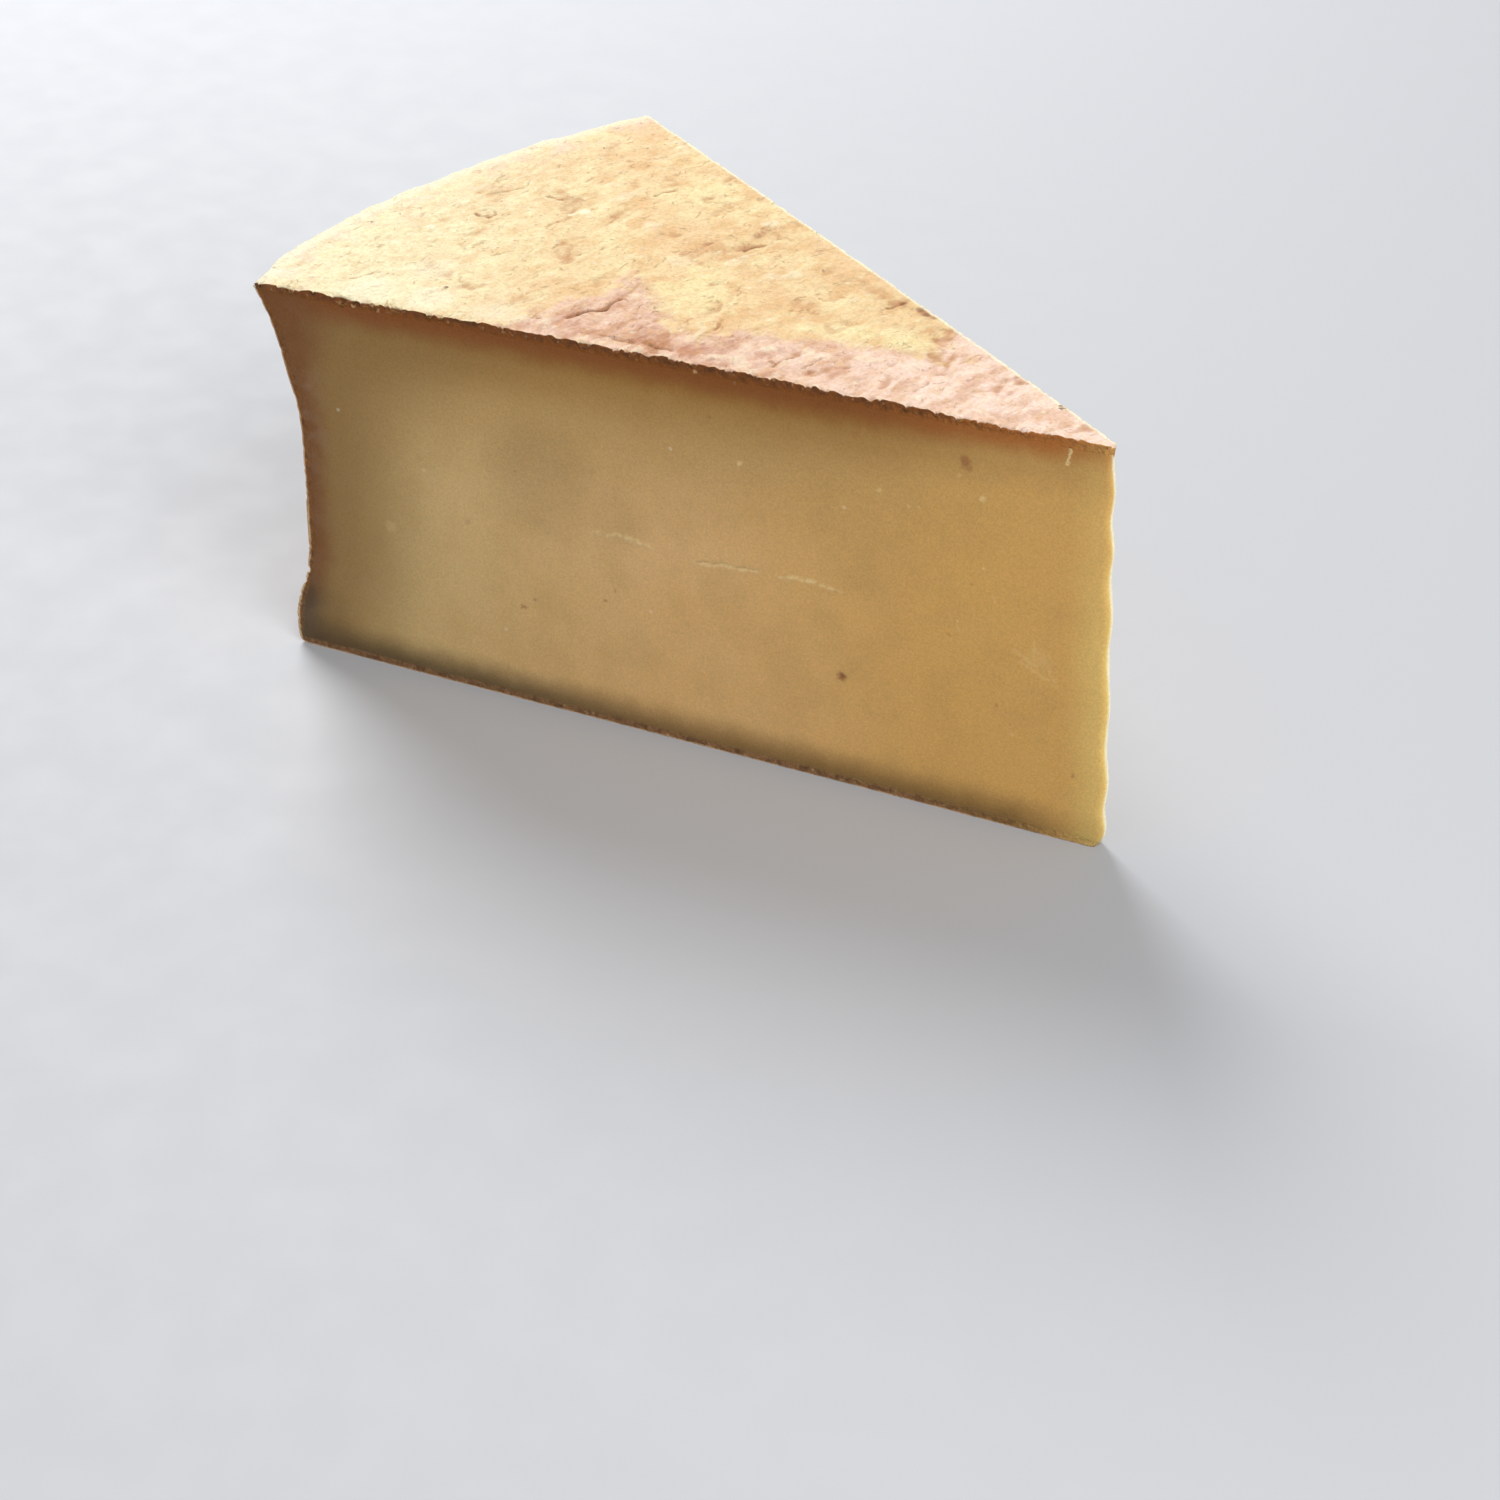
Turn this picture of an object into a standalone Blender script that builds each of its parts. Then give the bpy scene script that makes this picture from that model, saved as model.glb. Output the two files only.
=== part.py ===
"""A wedge of comte cheese, about a tenth of a whole wheel, standing on its flat side.

Metres, +Z up. The origin is under the middle of the wedge's box. The pointed end, where the wheel's
axis was, looks towards +X, and the hollow heel of rind faces -X. The two knife cuts face -Y and +Y.
Shapes are first worked out in the wheel's own place, with the wheel's axis on the Z axis.
"""

import math

import bmesh
import bpy
import numpy as np
from mathutils import Matrix, Vector

# The wheel that the wedge was cut from
WHEEL_RADIUS = 0.278
WHEEL_HEIGHT = 0.130
TOP_DOME = 0.0025
RIM_ROUNDING = 0.0015
FOOT_ROUNDING = 0.003
FOOT_TURN_IN = 0.0025

# The hollow side of the wheel: how far it lies behind the rim, at which heights
WAIST_SETBACK = 0.0148
WAIST_HEIGHT = 0.079
RIM_HEIGHT = 0.126
FOOT_HEIGHT = 0.006
SLOPE_RISE = 0.006
SWELL_RISE = 0.0058
SWELL_START = 0.55
SWELL_LENGTH = 0.4

# The corner of the rim that has worn away beside the front cut
WORN_CORNER_DEPTH = 0.004
WORN_CORNER_WIDTH = 0.016
WORN_CORNER_FOOT = 0.095

# The knife cuts and the blunt point between them
HALF_ANGLE = math.radians(17.7)
BACK_CUT_LEAN = 0.0022
NOSE_RADIUS = 0.0016
NOSE_CUTS = 5
NOSE_STEP = 0.0065
NOSE_WAVE = 0.0004
NOSE_WAVELENGTH = 0.022
NOSE_WANDER = 1.3
NOSE_WANDER_LENGTH = 0.106
STRIP_TURN_MARGIN = 0.1
STRIP_TILT_LIMIT = 0.3
CUT_FACE_CORNERS = 20

# The block that the wedge is shaped from, and its mesh
BLOCK_CUTS = 119
BLOCK_NOSE = 0.014
BLOCK_MARGIN = 0.007
KEPT_FACETS = 0.19
BOTTOM_TRIM = 0.0002
CUT_SNAP = 0.0004
NOSE_SNAP = 0.00008

# The rind's relief: wavelength, depth and seed of each layer of bumps
RELIEF_LAYERS = (
    (0.034, 0.0006, 3),
    (0.013, 0.00055, 5),
    (0.0065, 0.00035, 8),
)
RELIEF_FOOT_FADE = 0.004
NOISE_GAIN = 1.6
DIRECTION_COUNT = 1024
DIRECTION_SEED = 41
LATTICE_STEPS = np.array((73856093, 19349663, 83492791))

# Dents in the top rind: place from the wheel's axis, radius and depth
TOP_DENTS = (
    (-0.257, 0.014, 0.0040, 0.0008),
    (-0.246, -0.004, 0.0035, 0.0009),
    (-0.181, -0.028, 0.0035, 0.0009),
    (-0.167, 0.021, 0.0070, 0.0009),
    (-0.165, 0.035, 0.0060, 0.0010),
    (-0.120, 0.014, 0.0070, 0.0008),
    (-0.102, 0.026, 0.0050, 0.0012),
    (-0.077, 0.020, 0.0045, 0.0009),
)

# Cracks in the top rind: the line's two ends, half width and depth
TOP_CRACKS = (
    ((-0.172, -0.043), (-0.169, -0.035), 0.0017, 0.0013),
    ((-0.169, -0.035), (-0.165, -0.029), 0.0017, 0.0013),
    ((-0.165, -0.029), (-0.167, -0.019), 0.0016, 0.0011),
    ((-0.153, -0.041), (-0.134, -0.040), 0.0018, 0.0010),
    ((-0.244, -0.059), (-0.239, -0.053), 0.0016, 0.0009),
)

# Slits in the front cut: distance from the wheel's axis, height, length, slope
SLITS = (
    (0.1480, 0.0698, 0.0125, 7.0),
    (0.1180, 0.0667, 0.0165, -3.0),
    (0.0890, 0.0680, 0.0175, 3.0),
)
SLIT_HALF_OPENING = 0.00045
SLIT_DEPTH = 0.0018

# Small eyes in the front cut: distance from the wheel's axis, height and radius
EYES = (
    (0.0817, 0.0378, 0.0012),
    (0.0446, 0.1168, 0.0015),
    (0.1875, 0.0333, 0.0009),
    (0.0102, 0.0233, 0.0008),
)

CHEESE_COLOUR = (0.50, 0.335, 0.135, 1.0)
CHEESE_ROUGHNESS = 0.55


def clear_scene():
    for obj in list(bpy.data.objects):
        bpy.data.objects.remove(obj, do_unlink=True)


def make_collection(name):
    collection = bpy.data.collections.new(name)
    bpy.context.scene.collection.children.link(collection)
    return collection


def add_object(name, mesh, collection):
    obj = bpy.data.objects.new(name, mesh)
    collection.objects.link(obj)
    return obj


def smoothstep(value):
    """An eased ramp from 0 to 1 as the value goes from 0 to 1."""
    held = np.clip(value, 0.0, 1.0)
    return held * held * (3.0 - 2.0 * held)


def lattice_directions():
    """A fixed set of random unit directions, one of which each lattice point takes."""
    draw = np.random.default_rng(DIRECTION_SEED).normal(size=(DIRECTION_COUNT, 3))
    return draw / np.linalg.norm(draw, axis=1, keepdims=True)


def bumps(points, wavelength, seed):
    """Gradient noise from about -1 to 1.

    Each corner of a cubic lattice has a random slope, and the slopes of the eight corners round a
    point are blended by an eased curve.
    """
    directions = lattice_directions()
    cell = points / wavelength
    corner = np.floor(cell).astype(np.int64)
    inside = cell - corner
    blend = inside**3 * (inside * (inside * 6.0 - 15.0) + 10.0)
    total = np.zeros(len(points))
    for step in np.ndindex(2, 2, 2):
        row = ((corner + step) @ LATTICE_STEPS + seed) % DIRECTION_COUNT
        slope = ((inside - step) * directions[row]).sum(axis=1)
        weight = np.where(np.array(step) == 1, blend, 1.0 - blend).prod(axis=1)
        total += slope * weight
    return NOISE_GAIN * total


def top_height(rho):
    """The wheel's top, which falls away from its axis as a shallow parabola."""
    return WHEEL_HEIGHT - TOP_DOME * (rho / WHEEL_RADIUS) ** 2


def heel_setback(height):
    """How far the wheel's side lies behind its rim.

    A parabola leads from the rim down into the waist. Below the waist a straight slope and an eased
    swelling lead out to the foot.
    """
    above = np.clip((RIM_HEIGHT - height) / (RIM_HEIGHT - WAIST_HEIGHT), 0.0, 1.0)
    below = np.clip((WAIST_HEIGHT - height) / (WAIST_HEIGHT - FOOT_HEIGHT), 0.0, 1.0)
    hollow = WAIST_SETBACK * (1.0 - (1.0 - above) ** 2)
    swell = SLOPE_RISE * below + SWELL_RISE * smoothstep((below - SWELL_START) / SWELL_LENGTH)
    return hollow - swell


def edge_rounding(depth, radius):
    """How far a rounded edge lies back at a depth under its face, from its radius at 0 down to 0."""
    left = np.clip(1.0 - depth / radius, 0.0, 1.0)
    return 1.0 - np.sqrt(1.0 - left**2)


def heel_radius(y, height):
    """The distance from the wheel's axis to its side, with rounded edges and a worn corner."""
    top = top_height(WHEEL_RADIUS)
    radius = WHEEL_RADIUS - heel_setback(height)
    radius -= RIM_ROUNDING * edge_rounding(top - height, RIM_ROUNDING)
    radius -= FOOT_TURN_IN * edge_rounding(height, FOOT_ROUNDING)
    along_rim = WHEEL_RADIUS * (np.arcsin(y / WHEEL_RADIUS) + HALF_ANGLE)
    wear = np.exp(-((along_rim / WORN_CORNER_WIDTH) ** 2))
    reach = smoothstep((height - WORN_CORNER_FOOT) / (RIM_HEIGHT - WORN_CORNER_FOOT))
    return radius - WORN_CORNER_DEPTH * wear * reach


def shape_block(unit):
    """Places the points of a unit cube on the block.

    Along Y the cube is only stretched. Along Z it reaches up to the domed top. Along X it runs
    from beyond the wheel's axis to the wheel's hollow side.
    """
    half_width = WHEEL_RADIUS * math.sin(HALF_ANGLE) + BLOCK_MARGIN
    y = (2.0 * unit[:, 1] - 1.0) * half_width
    level = unit[:, 2] * top_height(WHEEL_RADIUS)
    heel = -np.sqrt(heel_radius(y, level) ** 2 - y**2)
    x = BLOCK_NOSE + unit[:, 0] * (heel - BLOCK_NOSE)
    z = unit[:, 2] * top_height(np.hypot(x, y))
    return np.column_stack((x, y, z))


def crack_depth(places, start, end, half_width, depth):
    """A groove that is deepest on the line between two points and fades out as a bell curve."""
    first = np.array(start)
    along = np.array(end) - first
    share = np.clip((places - first) @ along / (along @ along), 0.0, 1.0)
    away = np.linalg.norm(places - first - share[:, None] * along, axis=1)
    return depth * np.exp(-((away / half_width) ** 2))


def rind_relief(points):
    """The rind's height over its smooth form: layers of bumps, fading at the foot, and the top's dents."""
    height = sum(depth * bumps(points, wavelength, seed) for wavelength, depth, seed in RELIEF_LAYERS)
    height *= smoothstep(points[:, 2] / RELIEF_FOOT_FADE)
    places = points[:, :2]
    sunk = np.zeros(len(points))
    for x, y, radius, depth in TOP_DENTS:
        away = np.linalg.norm(places - (x, y), axis=1)
        sunk += depth * np.exp(-((away / radius) ** 2))
    for start, end, half_width, depth in TOP_CRACKS:
        sunk += crack_depth(places, start, end, half_width, depth)
    on_top = smoothstep((points[:, 2] - RIM_HEIGHT) / RIM_ROUNDING + 1.0)
    return height - sunk * on_top


def block_mesh():
    """The block: a cube cut into a fine grid, shaped, and then roughened along its normals."""
    bm = bmesh.new()
    bmesh.ops.create_cube(bm, size=1.0, matrix=Matrix.Translation((0.5, 0.5, 0.5)))
    bmesh.ops.subdivide_edges(bm, edges=bm.edges[:], cuts=BLOCK_CUTS, use_grid_fill=True)
    places = shape_block(np.array([vertex.co[:] for vertex in bm.verts]))
    for vertex, place in zip(bm.verts, places):
        vertex.co = place
    bmesh.ops.recalc_face_normals(bm, faces=bm.faces[:])
    bm.normal_update()
    normals = np.array([vertex.normal[:] for vertex in bm.verts])
    rough = places + normals * rind_relief(places)[:, None]
    for vertex, place in zip(bm.verts, rough):
        vertex.co = place
    mesh = bpy.data.meshes.new("block")
    bm.to_mesh(mesh)
    bm.free()
    return mesh


def thinned(mesh, kept):
    """The same surface in fewer facets, with the facets spent where the relief is."""
    obj = add_object("block", mesh, bpy.context.scene.collection)
    thin = obj.modifiers.new("thin", "DECIMATE")
    thin.ratio = kept
    graph = bpy.context.evaluated_depsgraph_get()
    result = bpy.data.meshes.new_from_object(obj.evaluated_get(graph))
    bpy.data.objects.remove(obj)
    return result


def cut_flat(bm, point, normal, snap):
    """A flat knife cut: what lies on the normal's side goes, and the cut is closed with one face.

    Points that lie closer to the cut than the snap are first moved onto it, so that no sliver is left.
    """
    for vertex in bm.verts:
        away = (vertex.co - point).dot(normal)
        if abs(away) < snap:
            vertex.co -= normal * away
    everything = bm.verts[:] + bm.edges[:] + bm.faces[:]
    bmesh.ops.bisect_plane(
        bm, geom=everything, dist=1e-6, plane_co=point, plane_no=normal, clear_outer=True
    )
    rim = [edge for edge in bm.edges if edge.is_boundary]
    bmesh.ops.edgeloop_fill(bm, edges=rim)


def nose_line():
    """The top and foot of the line where the two cuts would meet. The back cut leans out at its foot."""
    top = Vector((0.0, 0.0, WHEEL_HEIGHT))
    run = BACK_CUT_LEAN / math.sin(2.0 * HALF_ANGLE)
    foot = Vector((run * math.cos(HALF_ANGLE), run * math.sin(HALF_ANGLE), 0.0))
    return top, foot


def nose_turns():
    """The directions that the cuts face, from the front cut round the blunt point to the back cut."""
    side = math.pi / 2.0 - HALF_ANGLE
    return [-side + 2.0 * side * step / (NOSE_CUTS + 1) for step in range(NOSE_CUTS + 2)]


def cut_wedge(bm):
    """The bottom's trim, the two big cuts, and the fan of small cuts that blunts the point."""
    cut_flat(bm, Vector((0.0, 0.0, BOTTOM_TRIM)), Vector((0.0, 0.0, -1.0)), CUT_SNAP)
    top, foot = nose_line()
    centre = top - Vector((NOSE_RADIUS / math.sin(HALF_ANGLE), 0.0, 0.0))
    turns = nose_turns()
    for turn in (turns[0], turns[-1], *turns[1:-1]):
        outward = Vector((math.cos(turn), math.sin(turn), 0.0))
        along = Vector((-math.sin(turn), math.cos(turn), 0.0))
        slope = Vector((0.0, 0.0, -1.0)) if turn == turns[0] else foot - top
        normal = slope.cross(along).normalized()
        snap = CUT_SNAP if turn in (turns[0], turns[-1]) else NOSE_SNAP
        cut_flat(bm, centre + outward * NOSE_RADIUS, normal, snap)


def nose_strips(bm):
    """The tall faces of the blunt point, between the two big cuts."""
    turns = nose_turns()
    least = math.cos(turns[-1]) + STRIP_TURN_MARGIN
    ahead = [face for face in bm.faces if face.normal.x > least]
    return [face for face in ahead if abs(face.normal.z) < STRIP_TILT_LIMIT]


def wave_nose(bm):
    """Small waves down the blunt point. The rows at its sides move within the big cuts, which stay flat."""
    level = NOSE_STEP
    while level < WHEEL_HEIGHT - NOSE_STEP / 2.0:
        parts = {part for face in nose_strips(bm) for part in (face, *face.edges, *face.verts)}
        bmesh.ops.bisect_plane(
            bm, geom=list(parts), dist=1e-6, plane_co=(0.0, 0.0, level), plane_no=(0.0, 0.0, 1.0)
        )
        level += NOSE_STEP
    rows = {vertex for face in nose_strips(bm) for vertex in face.verts}
    for vertex in rows:
        height = vertex.co.z
        if not NOSE_STEP / 2.0 < height < WHEEL_HEIGHT - NOSE_STEP / 2.0:
            continue
        wander = NOSE_WANDER * math.sin(2.0 * math.pi * height / NOSE_WANDER_LENGTH)
        wave = math.sin(2.0 * math.pi * height / NOSE_WAVELENGTH + wander)
        vertex.co += NOSE_WAVE * wave * nose_direction(vertex)


def nose_direction(vertex):
    """Which way a point of the blunt nose moves: straight out, or along a big cut at its side rows."""
    sides = [face.normal for face in vertex.link_faces if len(face.verts) > CUT_FACE_CORNERS]
    if not sides:
        return Vector((1.0, 0.0, 0.0))
    along = sides[0].cross(Vector((0.0, 0.0, 1.0))).normalized()
    return along if along.x > 0.0 else -along


def wedge_mesh():
    """The wedge, cut from the thinned block, with how far it was moved to stand centred on the origin."""
    bm = bmesh.new()
    bm.from_mesh(thinned(block_mesh(), KEPT_FACETS))
    cut_wedge(bm)
    bmesh.ops.dissolve_degenerate(bm, dist=NOSE_SNAP, edges=bm.edges[:])
    bm.normal_update()
    wave_nose(bm)
    places = np.array([vertex.co[:] for vertex in bm.verts])
    low, high = places.min(axis=0), places.max(axis=0)
    shift = Vector((-(low[0] + high[0]) / 2.0, -(low[1] + high[1]) / 2.0, -low[2]))
    bmesh.ops.translate(bm, verts=bm.verts[:], vec=shift)
    mesh = bpy.data.meshes.new("cheese_wedge")
    bm.to_mesh(mesh)
    bm.free()
    return mesh, shift


def front_cut_place(distance, height, shift):
    """A point on the front cut, at a distance from the wheel's axis and a height."""
    along = Vector((-math.cos(HALF_ANGLE), -math.sin(HALF_ANGLE), 0.0))
    return along * distance + Vector((0.0, 0.0, height)) + shift


def ball_cutter(name, place, radii, slope, collection):
    """A stretched ball on the front cut, turned so that its first radius runs along the cut."""
    bm = bmesh.new()
    turn = Matrix.Rotation(HALF_ANGLE, 4, "Z") @ Matrix.Rotation(slope, 4, "Y")
    matrix = Matrix.Translation(place) @ turn @ Matrix.Diagonal((*radii, 1.0))
    bmesh.ops.create_uvsphere(bm, u_segments=12, v_segments=6, radius=1.0, matrix=matrix)
    mesh = bpy.data.meshes.new(name)
    bm.to_mesh(mesh)
    bm.free()
    cutter = add_object(name, mesh, collection)
    cutter.hide_render = True
    cutter.display_type = "WIRE"
    return cutter


def cheese_material():
    material = bpy.data.materials.new("cheese")
    material.use_nodes = True
    shader = material.node_tree.nodes["Principled BSDF"]
    shader.inputs["Base Color"].default_value = CHEESE_COLOUR
    shader.inputs["Roughness"].default_value = CHEESE_ROUGHNESS
    shader.inputs["Metallic"].default_value = 0.0
    material.diffuse_color = CHEESE_COLOUR
    return material


def build_wedge():
    parts = make_collection("comte_cheese")
    cutters = make_collection("cutters")
    mesh, shift = wedge_mesh()
    wedge = add_object("cheese_wedge", mesh, parts)
    wedge.data.materials.append(cheese_material())
    holes = []
    for number, (distance, height, length, slope) in enumerate(SLITS):
        place = front_cut_place(distance, height, shift)
        radii = (length / 2.0, SLIT_DEPTH, SLIT_HALF_OPENING)
        holes.append(ball_cutter(f"slit_{number}", place, radii, math.radians(slope), cutters))
    for number, (distance, height, radius) in enumerate(EYES):
        place = front_cut_place(distance, height, shift)
        holes.append(ball_cutter(f"eye_{number}", place, (radius, radius, radius), 0.0, cutters))
    for hole in holes:
        cut = wedge.modifiers.new(hole.name, "BOOLEAN")
        cut.operation = "DIFFERENCE"
        cut.solver = "EXACT"
        cut.object = hole


clear_scene()
build_wedge()
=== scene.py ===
"""The looks of the comte wedge: its rind, its paste, a pale floor, soft light and the camera.

Metres, +Z up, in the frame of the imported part. Shapes are worked out in the wheel's own place, with
the wheel's axis on the Z axis, and then moved to the part's place. A direction is an angle from -X,
negative towards the front cut and positive towards the back cut.
"""

import math

import bpy
import numpy as np
from mathutils import Matrix, Vector


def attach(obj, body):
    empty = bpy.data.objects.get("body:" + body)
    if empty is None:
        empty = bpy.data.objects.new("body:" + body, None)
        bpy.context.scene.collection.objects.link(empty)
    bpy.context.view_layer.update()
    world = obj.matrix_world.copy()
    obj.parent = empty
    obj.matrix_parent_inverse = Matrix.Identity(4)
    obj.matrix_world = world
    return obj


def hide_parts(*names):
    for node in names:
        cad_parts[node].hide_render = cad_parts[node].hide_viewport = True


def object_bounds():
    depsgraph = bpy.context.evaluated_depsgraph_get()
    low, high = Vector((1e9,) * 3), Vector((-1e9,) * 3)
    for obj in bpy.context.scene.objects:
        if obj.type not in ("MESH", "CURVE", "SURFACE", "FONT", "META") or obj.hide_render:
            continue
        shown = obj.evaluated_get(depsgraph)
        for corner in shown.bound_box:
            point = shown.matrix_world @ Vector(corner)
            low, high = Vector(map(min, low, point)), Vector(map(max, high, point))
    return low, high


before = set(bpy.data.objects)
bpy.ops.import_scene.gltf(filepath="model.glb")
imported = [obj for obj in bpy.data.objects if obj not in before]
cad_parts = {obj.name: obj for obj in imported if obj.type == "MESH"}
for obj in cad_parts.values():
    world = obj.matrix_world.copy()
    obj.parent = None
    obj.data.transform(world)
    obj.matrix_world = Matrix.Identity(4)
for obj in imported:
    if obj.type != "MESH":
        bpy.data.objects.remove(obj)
cad_low, cad_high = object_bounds()

# The wheel, as the part has it
WHEEL_RADIUS = 0.278
WHEEL_HEIGHT = 0.130
TOP_DOME = 0.0025
RIM_ROUNDING = 0.0015
FOOT_ROUNDING = 0.003
FOOT_TURN_IN = 0.0025
WAIST_SETBACK = 0.0148
WAIST_HEIGHT = 0.079
RIM_HEIGHT = 0.126
FOOT_HEIGHT = 0.006
SLOPE_RISE = 0.006
SWELL_RISE = 0.0058
SWELL_START = 0.55
SWELL_LENGTH = 0.4
WORN_CORNER_DEPTH = 0.004
WORN_CORNER_WIDTH = 0.016
WORN_CORNER_FOOT = 0.095
HALF_ANGLE = math.radians(17.7)
BACK_CUT_LEAN = 0.0022
NOSE_RADIUS = 0.0016
NOSE_WAVE = 0.0004
NOSE_WAVELENGTH = 0.022
NOSE_WANDER = 1.3
NOSE_WANDER_LENGTH = 0.106
BOTTOM_TRIM = 0.0002
WHEEL_AXIS = np.array((0.138996, -0.000945, -BOTTOM_TRIM))

# The part's relief: wavelength, depth and seed of each layer of bumps
RELIEF_LAYERS = (
    (0.034, 0.0006, 3),
    (0.013, 0.00055, 5),
    (0.0065, 0.00035, 8),
)
RELIEF_FOOT_FADE = 0.004
NOSE_FOOT_SETBACK = 0.0024
NOSE_FOOT_HEIGHT = 0.009
NOISE_GAIN = 1.6
DIRECTION_COUNT = 1024
DIRECTION_SEED = 41
LATTICE_STEPS = np.array((73856093, 19349663, 83492791))

# Dents in the top rind, as the part has them: place from the wheel's axis, radius and depth
TOP_DENTS = (
    (-0.257, 0.014, 0.0040, 0.0008),
    (-0.246, -0.004, 0.0035, 0.0009),
    (-0.181, -0.028, 0.0035, 0.0009),
    (-0.167, 0.021, 0.0070, 0.0009),
    (-0.165, 0.035, 0.0060, 0.0010),
    (-0.120, 0.014, 0.0070, 0.0008),
    (-0.102, 0.026, 0.0050, 0.0012),
    (-0.077, 0.020, 0.0045, 0.0009),
)
DENT_SHARE = 0.40
DENT_RING_DEPTH = 0.00035
DENT_RING_WIDTH = 0.0008
DENT_RING_SEED = 91
DENT_RING_LEVEL = 0.4
DENT_RING_BREAKS = 1.5

# Cracks and creases in the top rind: the line's two ends, half width and depth
TOP_CRACKS = (
    ((-0.1706, -0.0400), (-0.1690, -0.0355), 0.0009, 0.0008),
    ((-0.1690, -0.0355), (-0.1655, -0.0300), 0.0009, 0.0009),
    ((-0.1655, -0.0300), (-0.1668, -0.0215), 0.0009, 0.0008),
    ((-0.1668, -0.0215), (-0.1700, -0.0110), 0.0008, 0.0003),
    ((-0.1530, -0.0410), (-0.1430, -0.0390), 0.0010, 0.0005),
    ((-0.1400, -0.0370), (-0.1320, -0.0360), 0.0010, 0.0005),
    ((-0.2468, -0.0071), (-0.2440, -0.0087), 0.0007, 0.0006),
    ((-0.2440, -0.0087), (-0.2412, -0.0071), 0.0007, 0.0005),
    ((-0.2412, -0.0071), (-0.2412, -0.0039), 0.0007, 0.0007),
    ((-0.2412, -0.0039), (-0.2440, -0.0023), 0.0006, 0.0004),
    ((-0.2395, -0.0630), (-0.2361, -0.0543), 0.0006, 0.0005),
    ((-0.2123, -0.0551), (-0.2109, -0.0502), 0.0006, 0.0005),
    ((-0.2545, 0.0045), (-0.2508, 0.0157), 0.0007, 0.0005),
    ((-0.2392, 0.0159), (-0.2346, 0.0183), 0.0007, 0.0005),
    ((-0.2129, 0.0383), (-0.2115, 0.0453), 0.0007, 0.0006),
    ((-0.2207, -0.0011), (-0.2228, 0.0047), 0.0006, 0.0004),
    ((-0.2186, -0.0262), (-0.2161, -0.0196), 0.0005, 0.0004),
    ((-0.1668, 0.0355), (-0.1665, 0.0405), 0.0014, 0.0006),
    ((-0.1627, 0.0282), (-0.1610, 0.0322), 0.0008, 0.0007),
    ((-0.1316, -0.0184), (-0.1341, -0.0127), 0.0007, 0.0006),
    ((-0.1031, -0.0244), (-0.1025, -0.0175), 0.0007, 0.0007),
    ((-0.0964, -0.0196), (-0.0953, -0.0133), 0.0006, 0.0006),
    ((-0.1035, 0.0239), (-0.1018, 0.0289), 0.0010, 0.0007),
    ((-0.0945, 0.0281), (-0.0910, 0.0274), 0.0010, 0.0006),
    ((-0.1266, 0.0347), (-0.1236, 0.0384), 0.0006, 0.0004),
    ((-0.0633, -0.0107), (-0.0636, -0.0048), 0.0006, 0.0006),
    ((-0.0569, 0.0041), (-0.0557, 0.0072), 0.0006, 0.0005),
)
CRACK_WAVER = 0.0009
CRACK_WAVER_LENGTH = 0.0045
CRACK_WAVER_SEEDS = (93, 94)
CRACK_LINE_SHARE = 1.5
CRACK_LINE_FULL = 0.0008
CRACK_LINE_STRENGTH = 0.50

# How much of the part's relief the top rind shows, and how calm its pale side and the heel are
TOP_RELIEF_SHARE = 0.6
PALE_SIDE_CALM = 0.2
HEEL_CALM = 0.45

# Small raised crumbs on the top rind: place from the wheel's axis, radius and height
TOP_CRUMBS = (
    (-0.2496, -0.0382, 0.0020, 0.0005),
    (-0.2489, -0.0237, 0.0018, 0.0005),
    (-0.2207, 0.0144, 0.0022, 0.0006),
    (-0.2330, 0.0030, 0.0014, 0.0004),
    (-0.2213, -0.0139, 0.0014, 0.0004),
    (-0.1946, -0.0595, 0.0015, 0.0005),
    (-0.2383, -0.0592, 0.0018, 0.0005),
    (-0.2128, -0.0546, 0.0018, 0.0005),
    (-0.1949, -0.0236, 0.0013, 0.0004),
)

# Dark specks on the top rind: place from the wheel's axis, radius and strength
TOP_SPECKS = (
    (-0.2118, -0.0500, 0.0010, 0.9),
    (-0.2316, -0.0541, 0.0010, 0.5),
    (-0.2671, -0.0322, 0.0011, 0.7),
    (-0.1763, -0.0455, 0.0012, 0.6),
    (-0.2177, -0.0243, 0.0009, 0.6),
    (-0.0285, 0.0083, 0.0013, 1.0),
    (-0.0270, 0.0070, 0.0011, 0.8),
    (-0.0952, 0.0288, 0.0020, 0.55),
    (-0.0918, 0.0272, 0.0018, 0.45),
    (-0.0886, 0.0268, 0.0014, 0.40),
    (-0.1045, 0.0262, 0.0014, 0.35),
    (-0.0820, 0.0228, 0.0014, 0.30),
    (-0.1370, -0.0385, 0.0014, 0.35),
    (-0.1255, -0.0315, 0.0012, 0.30),
)

# Pale spots on the top rind, given in the same way
TOP_PALE_SPOTS = (
    (-0.2204, 0.0143, 0.0028, 0.9),
    (-0.2230, 0.0118, 0.0018, 0.7),
    (-0.2497, -0.0381, 0.0022, 0.7),
    (-0.2489, -0.0237, 0.0018, 0.5),
    (-0.2340, 0.0170, 0.0016, 0.5),
    (-0.2100, -0.0060, 0.0016, 0.4),
    (-0.1946, -0.0595, 0.0016, 0.6),
    (-0.2128, -0.0546, 0.0018, 0.5),
    (-0.1560, -0.0462, 0.0020, 0.5),
    (-0.2290, -0.0650, 0.0130, 0.55),
    (-0.2100, -0.0575, 0.0110, 0.55),
    (-0.1890, -0.0515, 0.0100, 0.40),
    (-0.2255, -0.0440, 0.0110, 0.35),
    (-0.1720, 0.0080, 0.0060, 0.30),
    (-0.1110, -0.0180, 0.0030, 0.5),
    (-0.1010, -0.0120, 0.0028, 0.5),
)

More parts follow.
